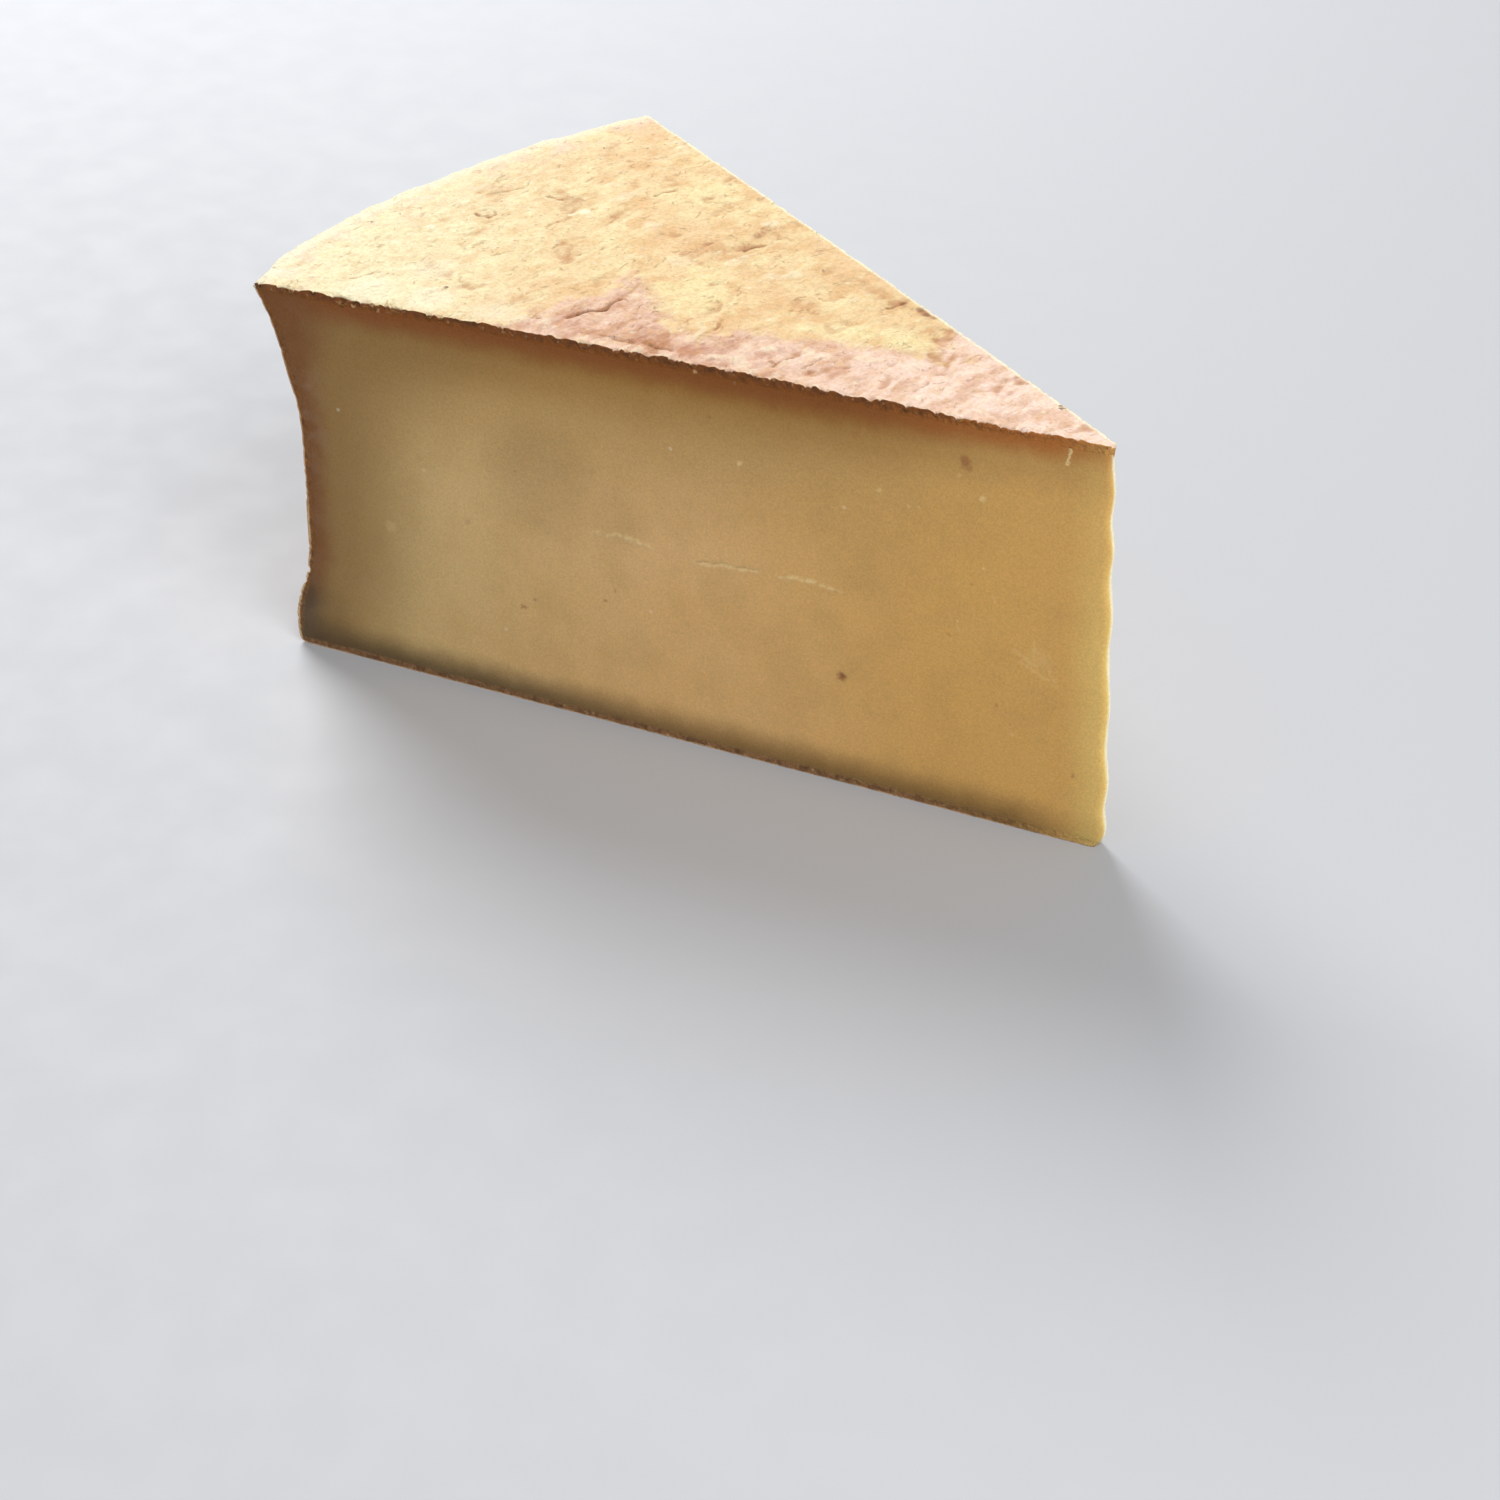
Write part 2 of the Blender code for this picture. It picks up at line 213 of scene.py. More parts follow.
# Finer relief, drawn out along one direction: wavelength, depth, seed and how many times longer it is
GRAIN_TURN = math.radians(6.0)
FINE_LAYERS = (
    (0.0080, 0.00022, 20, 1.5),
    (0.0042, 0.00030, 21, 1.4),
    (0.0023, 0.00026, 22, 1.2),
)
FLAKE_WAVELENGTH = 0.0100
FLAKE_SEED = 24
FLAKE_STRETCH = 1.3
FLAKE_LEVELS = (-0.30, 0.05, 0.38)
FLAKE_EDGE = 0.10
FLAKE_DEPTH = 0.00032
FLAKE_BREAK_LENGTH = 0.0130
FLAKE_BREAK_SEED = 25
ROUGH_WAVELENGTH = 0.0032
ROUGH_DEPTH = 0.0007
ROUGH_SEED = 31
ROUGH_STRETCH = 1.8
WRINKLE_WAVELENGTH = 0.0037
WRINKLE_DEPTH = 0.0006
WRINKLE_SEED = 33
WRINKLE_STRETCH = 2.8
RIDGE_LEVEL = 0.3
FINE_FOOT_FADE = 0.002
CUT_EDGE_CALM = 0.85
CUT_EDGE_REACH = 0.006

# The thickness of the rind, and how ragged the knife left its edges
RIND_THICKNESS = 0.0034
RIND_SIDE_SHRINK = 0.012
SECTION_STEP = 0.17
SECTION_FINEST = 0.05
SECTION_FOCUS = 0.14
SECTION_TUCK = 0.00012
SECTION_TUCK_START = 0.70
RAGGED_REACH = 0.00020
RAGGED_SINK = 0.0013
RAGGED_FADE = 0.0011
RAGGED_LAYERS = ((0.0050, 0.55, 51), (0.0020, 0.75, 52))
RAGGED_BACK_SHARE = 0.3
RAGGED_HEEL_SHARE = 0.25
RAGGED_LEVEL = -0.02
RAGGED_RANGE = 0.40
RAGGED_LEAN = 0.25
BITE_RADIUS = 0.2425
BITE_HALF_LENGTH = 0.0034
BITE_DEPTH = 0.0016
LIP_WIDTH = 0.0012
HOLLOW_RANGE = 0.0020
TOP_SHARPNESS = 2.0
SIDE_SHARPNESS = 1.4

# Spacing of the rind's mesh
TOP_SPACING = 0.00076
HEEL_SPACING = 0.00092
HIDDEN_SPACING = 0.0065
BOTTOM_SPACING = 0.0024
EDGE_SPACING = 0.00022
EDGE_REACH = 0.0014
ROUNDED_SPACING = 0.0003
ROUNDED_REACH = 0.0020
FULL_LAP = 4.0
SPACING_SAMPLES = 4001

# Spacing of the paste's mesh
PASTE_SPACING = 0.0012
PASTE_FOCUS_SPACING = 0.00045
PASTE_FOCUS_REACH = 0.0022
PASTE_BACK_SPACING = 0.0022
PASTE_HIDDEN_STEPS = 26
PASTE_NOSE_STEPS = 13
PASTE_UNDER_RIND = 0.0022
PASTE_TOP_GAP = 0.0024
PASTE_FOOT_GAP = 0.0016
PASTE_TUCK = 0.00012
PASTE_TUCK_RANGE = (0.55, 0.90)

# Waves of the knife cuts: wavelength, depth and seed
CUT_LAYERS = ((0.045, 0.00012, 61), (0.012, 0.00004, 62), (0.004, 0.000018, 63))
SCALLOP_LAYERS = ((0.0085, 0.00016, 71), (0.0034, 0.00018, 72))
SCALLOP_WIDTH = 0.0016
SCALLOP_START = 0.9

# Slits in the front cut: three places (distance from the wheel's axis and height), painted shade and pale lip
SLITS = (
    (((0.1411, 0.0674), (0.1520, 0.0691), (0.1640, 0.0680)), 0.0, 0.9),
    (((0.1064, 0.0676), (0.1187, 0.0667), (0.1300, 0.0655)), 0.7, 1.0),
    (((0.0800, 0.0670), (0.0934, 0.0686), (0.1040, 0.0668)), 0.1, 1.0),
)
SLIT_HALF_OPENING = 0.00030
SLIT_DEPTH = 0.00040
SLIT_LIP = 0.00020
SLIT_LIP_DROP = 0.0007
SLIT_LIP_HALF_HEIGHT = 0.0007
SLIT_WAVER = 0.0008
SLIT_WAVER_LENGTH = 0.004
SLIT_BREAK_LENGTH = 0.0016
SLIT_SEED = 81
SLIT_FULL_SHARE = 0.7
SLIT_LEVEL = 0.7
SLIT_LIP_LEVEL = 0.6
SLIT_LIP_BREAKS = 0.9

# Small eyes in the front cut: distance from the wheel's axis, height, radius and strength
EYES = (
    (0.0819, 0.0378, 0.0020, 1.0),
    (0.1887, 0.0349, 0.0015, 0.6),
    (0.1843, 0.0384, 0.0010, 0.4),
    (0.1596, 0.0443, 0.0010, 0.6),
    (0.1560, 0.0487, 0.0011, 0.4),
    (0.0336, 0.0410, 0.0010, 0.4),
    (0.0484, 0.0609, 0.0012, 0.3),
    (0.0423, 0.0788, 0.0009, 0.35),
    (0.0102, 0.0233, 0.0011, 0.5),
    (0.0773, 0.1180, 0.0016, 0.25),
    (0.2058, 0.0608, 0.0014, 0.25),
    (0.0448, 0.1169, 0.0026, 0.7),
    (0.0436, 0.1150, 0.0014, 0.5),
)
PITTED_EYES = 4
EYE_DEPTH_SHARE = 0.25
EYE_PIT_WIDTH = 0.6

# Pale crystals in the front cut, and broad dim smudges, given in the same way
CRYSTALS = (
    (0.0395, 0.1066, 0.0014, 0.9),
    (0.1131, 0.1012, 0.0011, 0.8),
    (0.0702, 0.1023, 0.0010, 0.6),
    (0.0613, 0.0994, 0.0010, 0.6),
    (0.0583, 0.0997, 0.0009, 0.5),
    (0.0465, 0.1123, 0.0009, 0.5),
    (0.0386, 0.0849, 0.0009, 0.6),
    (0.0213, 0.0596, 0.0050, 0.25),
    (0.1712, 0.0271, 0.0010, 0.5),
    (0.1265, 0.0181, 0.0009, 0.5),
    (0.2343, 0.0527, 0.0030, 0.3),
    (0.2198, 0.0756, 0.0012, 0.5),
)
SMUDGES = (
    (0.2712, 0.0190, 0.0095, 0.60),
    (0.2690, 0.0130, 0.0210, 0.28),
    (0.1784, 0.0810, 0.0260, 0.16),
    (0.1560, 0.0740, 0.0150, 0.10),
    (0.0855, 0.0554, 0.0065, 0.07),
    (0.0700, 0.0780, 0.0200, 0.06),
    (0.0819, 0.0378, 0.0028, 0.12),
)

# Pale scratches and a loose thread on the front cut: the two ends (distance and height), half width, strength
SCRATCHES = (
    ((0.0150, 0.1292), (0.0158, 0.1225), 0.0007, 0.8),
    ((0.0459, 0.0665), (0.0457, 0.0630), 0.0006, 0.30),
    ((0.0232, 0.0655), (0.0230, 0.0618), 0.0006, 0.30),
    ((0.0290, 0.0610), (0.0230, 0.0575), 0.0009, 0.22),
    ((0.0265, 0.0575), (0.0190, 0.0535), 0.0010, 0.22),
    ((0.0184, 0.0565), (0.0160, 0.0520), 0.0009, 0.20),
    ((0.0357, 0.0768), (0.0355, 0.0748), 0.0007, 0.30),
)

# Dark breaks and pale crumbs along the front cut's upper edge: distance, height, radius and strength
EDGE_BREAKS = (
    (0.2450, 0.1284, 0.0020, 0.9),
    (0.2420, 0.1282, 0.0020, 1.0),
    (0.2363, 0.1280, 0.0016, 0.9),
    (0.2568, 0.1285, 0.0012, 0.6),
    (0.2081, 0.1288, 0.0014, 0.8),
    (0.1974, 0.1284, 0.0014, 0.7),
    (0.1700, 0.1286, 0.0014, 0.6),
    (0.1210, 0.1290, 0.0014, 0.7),
)
EDGE_CRUMBS = (
    (0.2436, 0.1264, 0.0010, 0.8),
    (0.2412, 0.1270, 0.0009, 0.7),
    (0.2385, 0.1262, 0.0010, 0.8),
    (0.2318, 0.1276, 0.0009, 0.7),
    (0.2300, 0.1262, 0.0008, 0.5),
    (0.1260, 0.1272, 0.0010, 0.6),
)

# Patches of colour on the top rind: place from the wheel's axis, radii along X and Y, strength
BUTTER_PATCHES = (
    (-0.1500, -0.0050, 0.0150, 0.0120, 1.0),
    (-0.1560, 0.0050, 0.0100, 0.0090, 0.8),
    (-0.1150, -0.0010, 0.0110, 0.0070, 0.7),
    (-0.1000, 0.0050, 0.0110, 0.0065, 0.7),
    (-0.0860, 0.0100, 0.0100, 0.0060, 0.9),
    (-0.1980, 0.0430, 0.0160, 0.0160, 0.6),
)
TAN_PATCHES = (
    (-0.1670, 0.0200, 0.0085, 0.0060, 1.0),
    (-0.1665, 0.0380, 0.0035, 0.0055, 1.0),
    (-0.1560, -0.0435, 0.0055, 0.0025, 0.8),
    (-0.1429, -0.0375, 0.0080, 0.0035, 1.0),
    (-0.1305, -0.0330, 0.0070, 0.0030, 0.9),
    (-0.1205, -0.0285, 0.0055, 0.0025, 0.6),
    (-0.1310, -0.0230, 0.0060, 0.0030, 0.6),
    (-0.1225, 0.0305, 0.0080, 0.0035, 0.8),
    (-0.1125, 0.0290, 0.0080, 0.0040, 0.8),
    (-0.1230, 0.0105, 0.0060, 0.0050, 0.8),
    (-0.1025, 0.0265, 0.0040, 0.0045, 1.0),
    (-0.0915, 0.0277, 0.0050, 0.0030, 1.0),
    (-0.0830, 0.0200, 0.0080, 0.0060, 0.8),
    (-0.2530, 0.0100, 0.0070, 0.0080, 0.6),
    (-0.2440, -0.0055, 0.0045, 0.0045, 0.5),
    (-0.2560, 0.0250, 0.0140, 0.0200, 0.22),
    (-0.2500, 0.0020, 0.0060, 0.0070, 0.40),
    (-0.2200, 0.0060, 0.0060, 0.0050, 0.40),
    (-0.1950, 0.0300, 0.0090, 0.0060, 0.35),
    (-0.2440, 0.0150, 0.0130, 0.0110, 0.22),
    (-0.1330, 0.0220, 0.0120, 0.0060, 0.30),
    (-0.1640, 0.0260, 0.0070, 0.0060, 0.60),
)

# The line on the top rind past which it is pink, from the front cut round to the back cut
PINK_LINE = (
    (-0.1835, -0.0585),
    (-0.1745, -0.0280),
    (-0.1760, -0.0085),
    (-0.1574, -0.0156),
    (-0.1414, -0.0274),
    (-0.1300, -0.0260),
    (-0.1237, -0.0122),
    (-0.1115, -0.0099),
    (-0.0985, -0.0020),
    (-0.0836, 0.0035),
    (-0.0744, 0.0098),
    (-0.0766, 0.0245),
)
PINK_FADE = 0.0085
CORNER_TIE = 1e-9

# The camera, as worked out from the photograph
CAMERA_PLACE = (0.504641, -0.510344, 0.471128)
CAMERA_YAW = math.radians(-44.851)
CAMERA_PITCH = math.radians(34.930)
CAMERA_ROLL = math.radians(-1.796)
CAMERA_LENS = 65.04
CAMERA_SENSOR = 36.0

FRONT_NORMAL = np.array((math.sin(HALF_ANGLE), -math.cos(HALF_ANGLE), 0.0))
BACK_NORMAL = np.array((math.sin(HALF_ANGLE), math.cos(HALF_ANGLE), 0.0))
FRONT_ALONG = np.array((-math.cos(HALF_ANGLE), -math.sin(HALF_ANGLE), 0.0))

# The stage
FLOOR_COLOUR = (186, 188, 192)
FLOOR_HALF = 3.0
WORLD_GREY = 0.32

# Soft boxes: turn from the camera's line of sight, height angle, distance, size, power
SOFT_BOXES = {
    "window": (-22.0, 39.0, 2.2, 1.3, 53.0),
    "front_fill": (150.0, 34.0, 1.9, 1.6, 29.0),
}

# Colours as they are seen: red, green and blue from 0 to 255
# Cream of the top's brighter side and of its edge highlights: painted light
LIT_CREAM = (237, 226, 186)
SAND = (233, 212, 163)
PEACH = (228, 195, 148)
APRICOT = (212, 165, 112)
BUTTER = (234, 217, 166)
PINK = (218, 178, 152)
TERRACOTTA = (180, 122, 92)
PALE_PINK = (243, 216, 200)
TAN = (202, 156, 110)
UMBER = (104, 66, 42)
# Brown of the creases and hollows: painted shade, with some dirt
CREASE_SHADE_BROWN = (176, 118, 72)
# Brown of the cracks, with painted shade in them
CRACK_SHADE_BROWN = (118, 76, 48)
# Pale flecks and spots, and the painted highlights on crests, rims and edges
PALE_BLOOM_AND_HIGHLIGHT = (242, 233, 204)
HEEL_BEIGE = (207, 170, 127)
HEEL_TAN = (180, 140, 98)
HEEL_BROWN = (118, 80, 50)
HEEL_GREY = (206, 186, 158)
SKIN_DARK = (122, 72, 32)
SKIN_UMBER = (84, 52, 32)
SKIN_PINK = (140, 102, 68)
SKIN_TAN = (134, 88, 48)
SKIN_PALE = (206, 168, 124)
# Pale line along the heel's edge of the cut: a painted highlight
SKIN_RIM_HIGHLIGHT = (238, 208, 160)
UNDERSIDE = (190, 150, 108)
PASTE_WARM = (220, 179, 122)
PASTE_GOLD = (214, 168, 96)
PASTE_OLIVE = (202, 174, 119)
# Darker paste under the top rind and by the heel: its own browning with painted shade
PASTE_SHADE = (182, 146, 88)
PASTE_EDGE = (160, 118, 56)
PASTE_DARK = (134, 76, 26)
PASTE_EMBER = (172, 104, 46)
PASTE_BACK = (146, 114, 64)
PASTE_RUST = (122, 76, 34)
PASTE_BLUSH = (142, 108, 82)
PASTE_FOOT = (126, 95, 52)
PASTE_FOOT_DARK = (94, 74, 46)
PASTE_CORNER = (96, 80, 56)
# Painted glow: a pale yellow that stands for light shining through the thin nose
PASTE_NOSE_GLOW = (228, 197, 118)
# Pale flecks in the paste, and a painted highlight on the nose's back side
PASTE_WHITE_AND_HIGHLIGHT = (245, 240, 212)
CRYSTAL_PALE = (238, 214, 158)
SMUDGE_DARK = (74, 54, 34)
EYE_BROWN = (134, 66, 44)
# Painted shade inside the slits
SLIT_SHADE = (104, 84, 44)

# Ramps: where each begins and ends, mostly as a depth in metres, and its result at both ends
RAMPS = {
    "heel narrows above foot": (0.080, 0.124, 1.0, 0.42),
    "gold by nose": (0.040, 0.140, 1.0, 0.0),
    "olive by heel": (0.020, 0.140, 0.9, 0.0),
    "brown and shade by heel": (0.010, 0.055, 0.95, 0.0),
    "rust by heel": (0.0030, 0.0130, 0.92, 0.0),
    "thinner by nose": (0.012, 0.075, 1.35, 1.0),
    # Darker under the top rind, less so near the nose: the paste's own browning with painted shade
    "shade under top": (0.016, 0.062, 0.80, 0.0),
    "shade off nose": (0.010, 0.120, 0.15, 1.0),
    "edge under top": (0.006, 0.028, 0.92, 0.0),
    "edge off nose": (0.004, 0.100, 0.45, 1.0),
    "dark under top": (0.0034, 0.0125, 0.95, 0.0),
    "dark off nose": (0.0, 0.016, 0.50, 1.0),
    "ember by nose": (0.012, 0.085, 1.0, 0.0),
    # Painted glow on the nose, weaker near the top
    "glow by nose": (0.0, 0.0130, 0.78, 0.0),
    "glow away from top": (0.004, 0.100, 0.30, 1.0),
    "blush above foot": (0.060, 0.085, 0.25, 0.8),
    "blush below top": (0.020, 0.034, 0.15, 1.0),
    "corner by foot": (0.012, 0.030, 0.85, 0.0),
    "dark by foot": (0.0024, 0.0146, 0.88, 0.0),
    "foot off nose": (0.0, 0.030, 0.25, 1.0),
    "darker foot by heel": (0.060, 0.160, 1.0, 0.0),
    # Painted highlight on the nose's back half
    "highlight side of nose": (0.12, 0.54, 0.0, 0.80),
    "highlight by nose": (0.0, 0.003, 1.0, 0.0),
    "flecks below top": (0.010, 0.026, 0.05, 0.25),
    # Painted light: the top creamier towards the side where the light falls strongest, more apricot away from
    # it
    "painted light by slant": (-0.160, -0.035, 0.90, 0.05),
    "apricot where less lit": (-0.190, -0.100, 0.0, 0.18),
    "waver inside patch": (0.0, 0.3, 0.0, 1.0),
    "pink patch": (0.15, 0.85, 0.0, 0.95),
    "butter patch": (0.15, 0.85, 0.0, 0.85),
    "tan patch": (0.05, 0.85, 0.0, 0.85),
    "tan blotches": (0.0, 1.0, 0.4, 1.0),
    "red off nose": (0.03, 0.11, 0.35, 0.95),
    "pale pink by nose": (0.04, 0.14, 0.90, 0.30),
    "pale pink between blotches": (0.0, 1.0, 1.0, 0.3),
    # Painted shade with some dirt in the top's hollows, and a painted highlight on its crests
    "shade in hollow": (0.58, 0.84, 0.0, 0.65),
    "dirt and shade in hollow": (0.84, 1.0, 0.0, 0.60),
    "highlight on crest": (0.44, 0.22, 0.0, 0.40),
    # Painted highlight along the rim
    "pink by rim": (0.003, 0.024, 0.45, 0.0),
    "highlight by rim": (0.001, 0.006, 0.65, 0.0),
    "highlight under rim": (0.001, 0.006, 0.85, 0.0),
    "crack breaks": (0.38, 0.54, 0.2, 1.0),
    "net lines": (0.010, 0.048, 1.0, 0.0),
    "net low down": (0.036, 0.058, 1.0, 0.0),
    "net above foot": (0.004, 0.010, 0.0, 1.0),
    "net breaks": (0.46, 0.60, 0.0, 1.0),
    "dirt and shade in heel's hollow": (0.60, 0.95, 0.0, 0.75),
    "dirt by foot": (0.003, 0.014, 0.85, 0.0),
    "tan skin by heel": (0.004, 0.012, 1.0, 0.0),
    "pink skin by foot": (0.003, 0.008, 1.0, 0.0),
    "skin": (0.0008, 0.0032, 0.9, 0.0),
    "skin by foot": (0.0022, 0.0033, 0.85, 0.0),
    "skin off nose": (0.006, 0.065, 0.10, 1.0),
    # Painted highlight along the heel's edge of the cut
    "rim highlight": (0.0003, 0.0012, 0.85, 0.0),
    "rim highlight low down": (0.045, 0.070, 1.0, 0.0),
    "rim highlight breaks": (0.0, 1.0, 1.0, 0.3),
    "inside below skin": (0.0003, 0.0007, 0.0, 1.0),
    "inside past lip": (0.87, 0.96, 0.0, 1.0),
    "inside where torn": (0.30, 0.62, 0.0, 1.0),
    "rind roughness": (0.3, 0.7, 0.74, 0.88),
    "paste roughness": (0.3, 0.7, 0.46, 0.60),
    "floor roughness": (0.3, 0.7, 0.70, 0.80),
    "rind grain": (0.3, 0.7, 0.91, 1.09),
    "paste grain": (0.3, 0.7, 0.88, 1.08),
}

# How a pattern is drawn out along the grain
LONGER = (1.0, 1.7, 1.0)
LEVEL_BANDS = (12.0, 12.0, 1.0)
UPRIGHT_SMEARS = (7.0, 7.0, 1.0)

# Blotches: wavelength, the noise's two levels, and the offset and stretch of those that have them
BLOTCHES = {
    "paste cloud": (0.045, 0.36, 0.64, (0.6, 0.2, 0.4)),
    "paste dullness": (0.014, 0.42, 0.70, (0.2, 0.5, 0.1)),
    "paste blush": (0.009, 0.40, 0.66),
    "top broad": (0.024, 0.36, 0.62, (0.3, 0.1, 0.0)),
    "top small": (0.0070, 0.42, 0.66, (0.7, 0.2, 0.1), LONGER),
    "top tiny": (0.0028, 0.44, 0.66, (0.1, 0.7, 0.2), LONGER),
    "top red": (0.0058, 0.42, 0.64, (0.2, 0.9, 0.3), LONGER),
    "top tan": (0.0034, 0.36, 0.62, (0.5, 0.4, 0.2), LONGER),
    "heel broad": (0.022, 0.36, 0.64, (0.1, 0.5, 0.3)),
    "heel small": (0.005, 0.42, 0.64, (0.4, 0.6, 0.8)),
    "heel bands": (0.0035, 0.42, 0.62, (0.0, 0.0, 0.2), LEVEL_BANDS),
    "heel dirt": (0.0040, 0.34, 0.60, (0.9, 0.6, 0.3)),
    "skin tears": (0.0018, 0.40, 0.64),
    "skin crumbs": (0.0022, 0.60, 0.70, (0.1, 0.1, 0.6)),
    "skin dark": (0.0030, 0.44, 0.62, (0.6, 0.5, 0.1)),
    "lip crumbs and highlights": (0.0024, 0.44, 0.60, (0.8, 0.3, 0.1)),
}

# Specks: the spacing of their cells, their size and share of the cells, and the offset of those that have one
SPECKS = {
    "skin bits": (0.0032, 0.20, 0.30, (0.2, 0.3, 0.5)),
    "rind flecks": (0.0052, 0.20, 0.40),
    "rind dots": (0.012, 0.07, 0.25, (0.4, 0.2, 0.7)),
    "paste flecks": (0.010, 0.085, 0.30),
    "paste dots": (0.013, 0.05, 0.35, (0.3, 0.8, 0.1)),
}

# Plain noises: wavelength, detail, roughness, and the offset and stretch of those that have them
NOISES = {
    "paste waver": (0.007, 4.0, 0.5),
    "paste grain": (0.0007, 3.0, 0.8),
    "paste smears": (0.004, 4.0, 0.5, (0.0, 0.0, 0.0), UPRIGHT_SMEARS),
    "patch waver": (0.014, 3.0, 0.6),
    "fine patch waver": (0.0045, 3.0, 0.6, (0.3, 0.3, 0.9)),
    "crack breaks": (0.0040, 3.0, 0.5),
    "net breaks": (0.022, 3.0, 0.5),
    "rind grain": (0.0011, 4.0, 0.6),
    "rind crumb": (0.0032, 4.0, 0.6, (0.0, 0.0, 0.0), (1.0, 1.3, 1.0)),
    "floor": (0.02, 4.0, 0.5),
}

# How strongly each pattern or mark colours the surface
STRENGTHS = {
    "paste cloud": 0.28,
    "paste dullness": 0.22,
    "paste dots": 0.25,
    "crystals": 0.50,
    "eyes": 0.70,
    "scratches": 0.75,
    "slit lip": 0.60,
    "slit": 0.55,
    "top small": 0.50,
    "top tiny": 0.30,
    "strokes": 0.38,
    "heel small": 0.5,
    "heel bands": 0.35,
    "heel net": 0.55,
    "skin dark": 0.6,
    "skin crumbs": 0.4,
    "skin bits": 0.45,
    "rind flecks": 0.40,
    "rind dots": 0.4,
    "lip crumbs and highlights": 0.30,
}

# Details of the patterns
BLOTCH_DETAIL = 3.0
BLOTCH_ROUGHNESS = 0.55
SPECK_CORE = 0.4
SPOT_CORE = 0.3
STROKE_WAVELENGTH = 0.0024
STROKE_SHARE = 0.075
STROKE_LEVEL = 0.70
STROKE_SOFTNESS = 0.07
STROKE_MOVE = ((0.9, 0.1, 0.5), (1.0, 1.8, 1.0))
STROKE_ROUGHNESS = 0.6
NET_SPACING = 0.0068
NET_OFFSET = (0.2, 0.1, 0.6)
# The way across the top along which the painted light fades
LIGHT_SLANT = (1.0, 0.75, 0.0)
# The painted highlight along the back cut's upper edge: how far in it starts and ends, and its strength
BACK_LINE = (0.0013, 0.0003)
BACK_LINE_STRENGTH = 0.8
PASTE_WAVER = 0.0034
PATCH_WAVERS = {"patch waver": 1.9, "fine patch waver": 1.6}
SKIN_TEAR = 0.0012
FOOT_SKIN_TEAR = 0.0006

# How round marks are made uneven: the wavelength and reach of the noise that shakes their places
TOP_SHAKE = (0.0026, 0.0040)
CRACK_SHAKE = (0.0013, 0.0018)
NET_SHAKE = (0.0050, 0.0060)
FLECK_SHAKE = (0.0020, 0.0020)
EDGE_SHAKE = (0.0014, 0.0024)
FRONT_SHAKE = (0.0016, 0.0022)
SHAKE_DETAIL = 3.0

# The shaders' plain values, and their bumps: strength and distance
RIND_FINISH = {
    "Specular IOR Level": 0.25,
    "Subsurface Weight": 0.20,
    "Subsurface Radius": (1.0, 0.55, 0.25),
    "Subsurface Scale": 0.0018,
}
PASTE_FINISH = {
    "Specular IOR Level": 0.25,
    "Subsurface Weight": 0.4,
    "Subsurface Radius": (1.0, 0.62, 0.28),
    "Subsurface Scale": 0.005,
}
RIND_BUMP = (0.9, 0.0008)
PASTE_BUMP = (0.3, 0.0003)
GRAIN_RISE = 0.9
CRUMB_RISE = 1.6
STROKE_SINK = 0.5
NET_SINK = 0.8


# Numbers and noise

def smoothstep(value, start=0.0, end=1.0):
    """An eased ramp from 0 to 1 as the value goes from the start to the end."""
    held = np.clip((value - start) / (end - start), 0.0, 1.0)
    return held * held * (3.0 - 2.0 * held)


def bell(distance, width):
    """A bell curve that is 1 in its middle and about a third at the width."""
    return np.exp(-((distance / width) ** 2))


def lattice_directions():
    """A fixed set of random unit directions, one of which each lattice point takes."""
    draw = np.random.default_rng(DIRECTION_SEED).normal(size=(DIRECTION_COUNT, 3))
    return draw / np.linalg.norm(draw, axis=1, keepdims=True)


def bumps(points, wavelength, seed):
    """Gradient noise from about -1 to 1.

    Each corner of a cubic lattice has a random slope, and the slopes of the eight corners round a
    point are blended by an eased curve.
    """
    directions = lattice_directions()
    cell = points / wavelength
    corner = np.floor(cell).astype(np.int64)
    inside = cell - corner
    eased = inside**3 * (inside * (inside * 6.0 - 15.0) + 10.0)
    total = np.zeros(len(points))
    for step in np.ndindex(2, 2, 2):
        row = ((corner + step) @ LATTICE_STEPS + seed) % DIRECTION_COUNT
        slope = ((inside - step) * directions[row]).sum(axis=1)
        weight = np.where(np.array(step) == 1, eased, 1.0 - eased).prod(axis=1)
        total += slope * weight
    return NOISE_GAIN * total


def layered_bumps(points, layers):
    """The sum of some layers of noise, each with its wavelength, depth and seed."""
    return sum(depth * bumps(points, wavelength, seed) for wavelength, depth, seed in layers)


def drawn_out(points, stretch):
    """Places for noise whose bumps are longer along one level direction than across it."""
    across = points[:, 0] * math.cos(GRAIN_TURN) + points[:, 1] * math.sin(GRAIN_TURN)
    along = points[:, 1] * math.cos(GRAIN_TURN) - points[:, 0] * math.sin(GRAIN_TURN)
    return np.column_stack((across, along / stretch, points[:, 2]))


def spaced(start, end, spacing, places=(), finest=None, reach=1.0):
    """Positions from start to end, closer together near the named places.

    The number of steps up to a position is the integral of one over the local spacing.
    """
    fine = np.linspace(start, end, SPACING_SAMPLES)
    local = np.full(len(fine), spacing)
    for place in places:
        local = np.minimum(local, spacing - (spacing - finest) * bell(fine - place, reach))
    steps = np.concatenate(([0.0], np.cumsum(np.diff(fine) / ((local[1:] + local[:-1]) / 2.0))))
    count = max(2, round(steps[-1]))
    return np.interp(np.linspace(0.0, steps[-1], count + 1), steps, fine)


# The wheel's form

def top_height(rho):
    """The wheel's top, which falls away from its axis as a shallow parabola."""
    return WHEEL_HEIGHT - TOP_DOME * (rho / WHEEL_RADIUS) ** 2


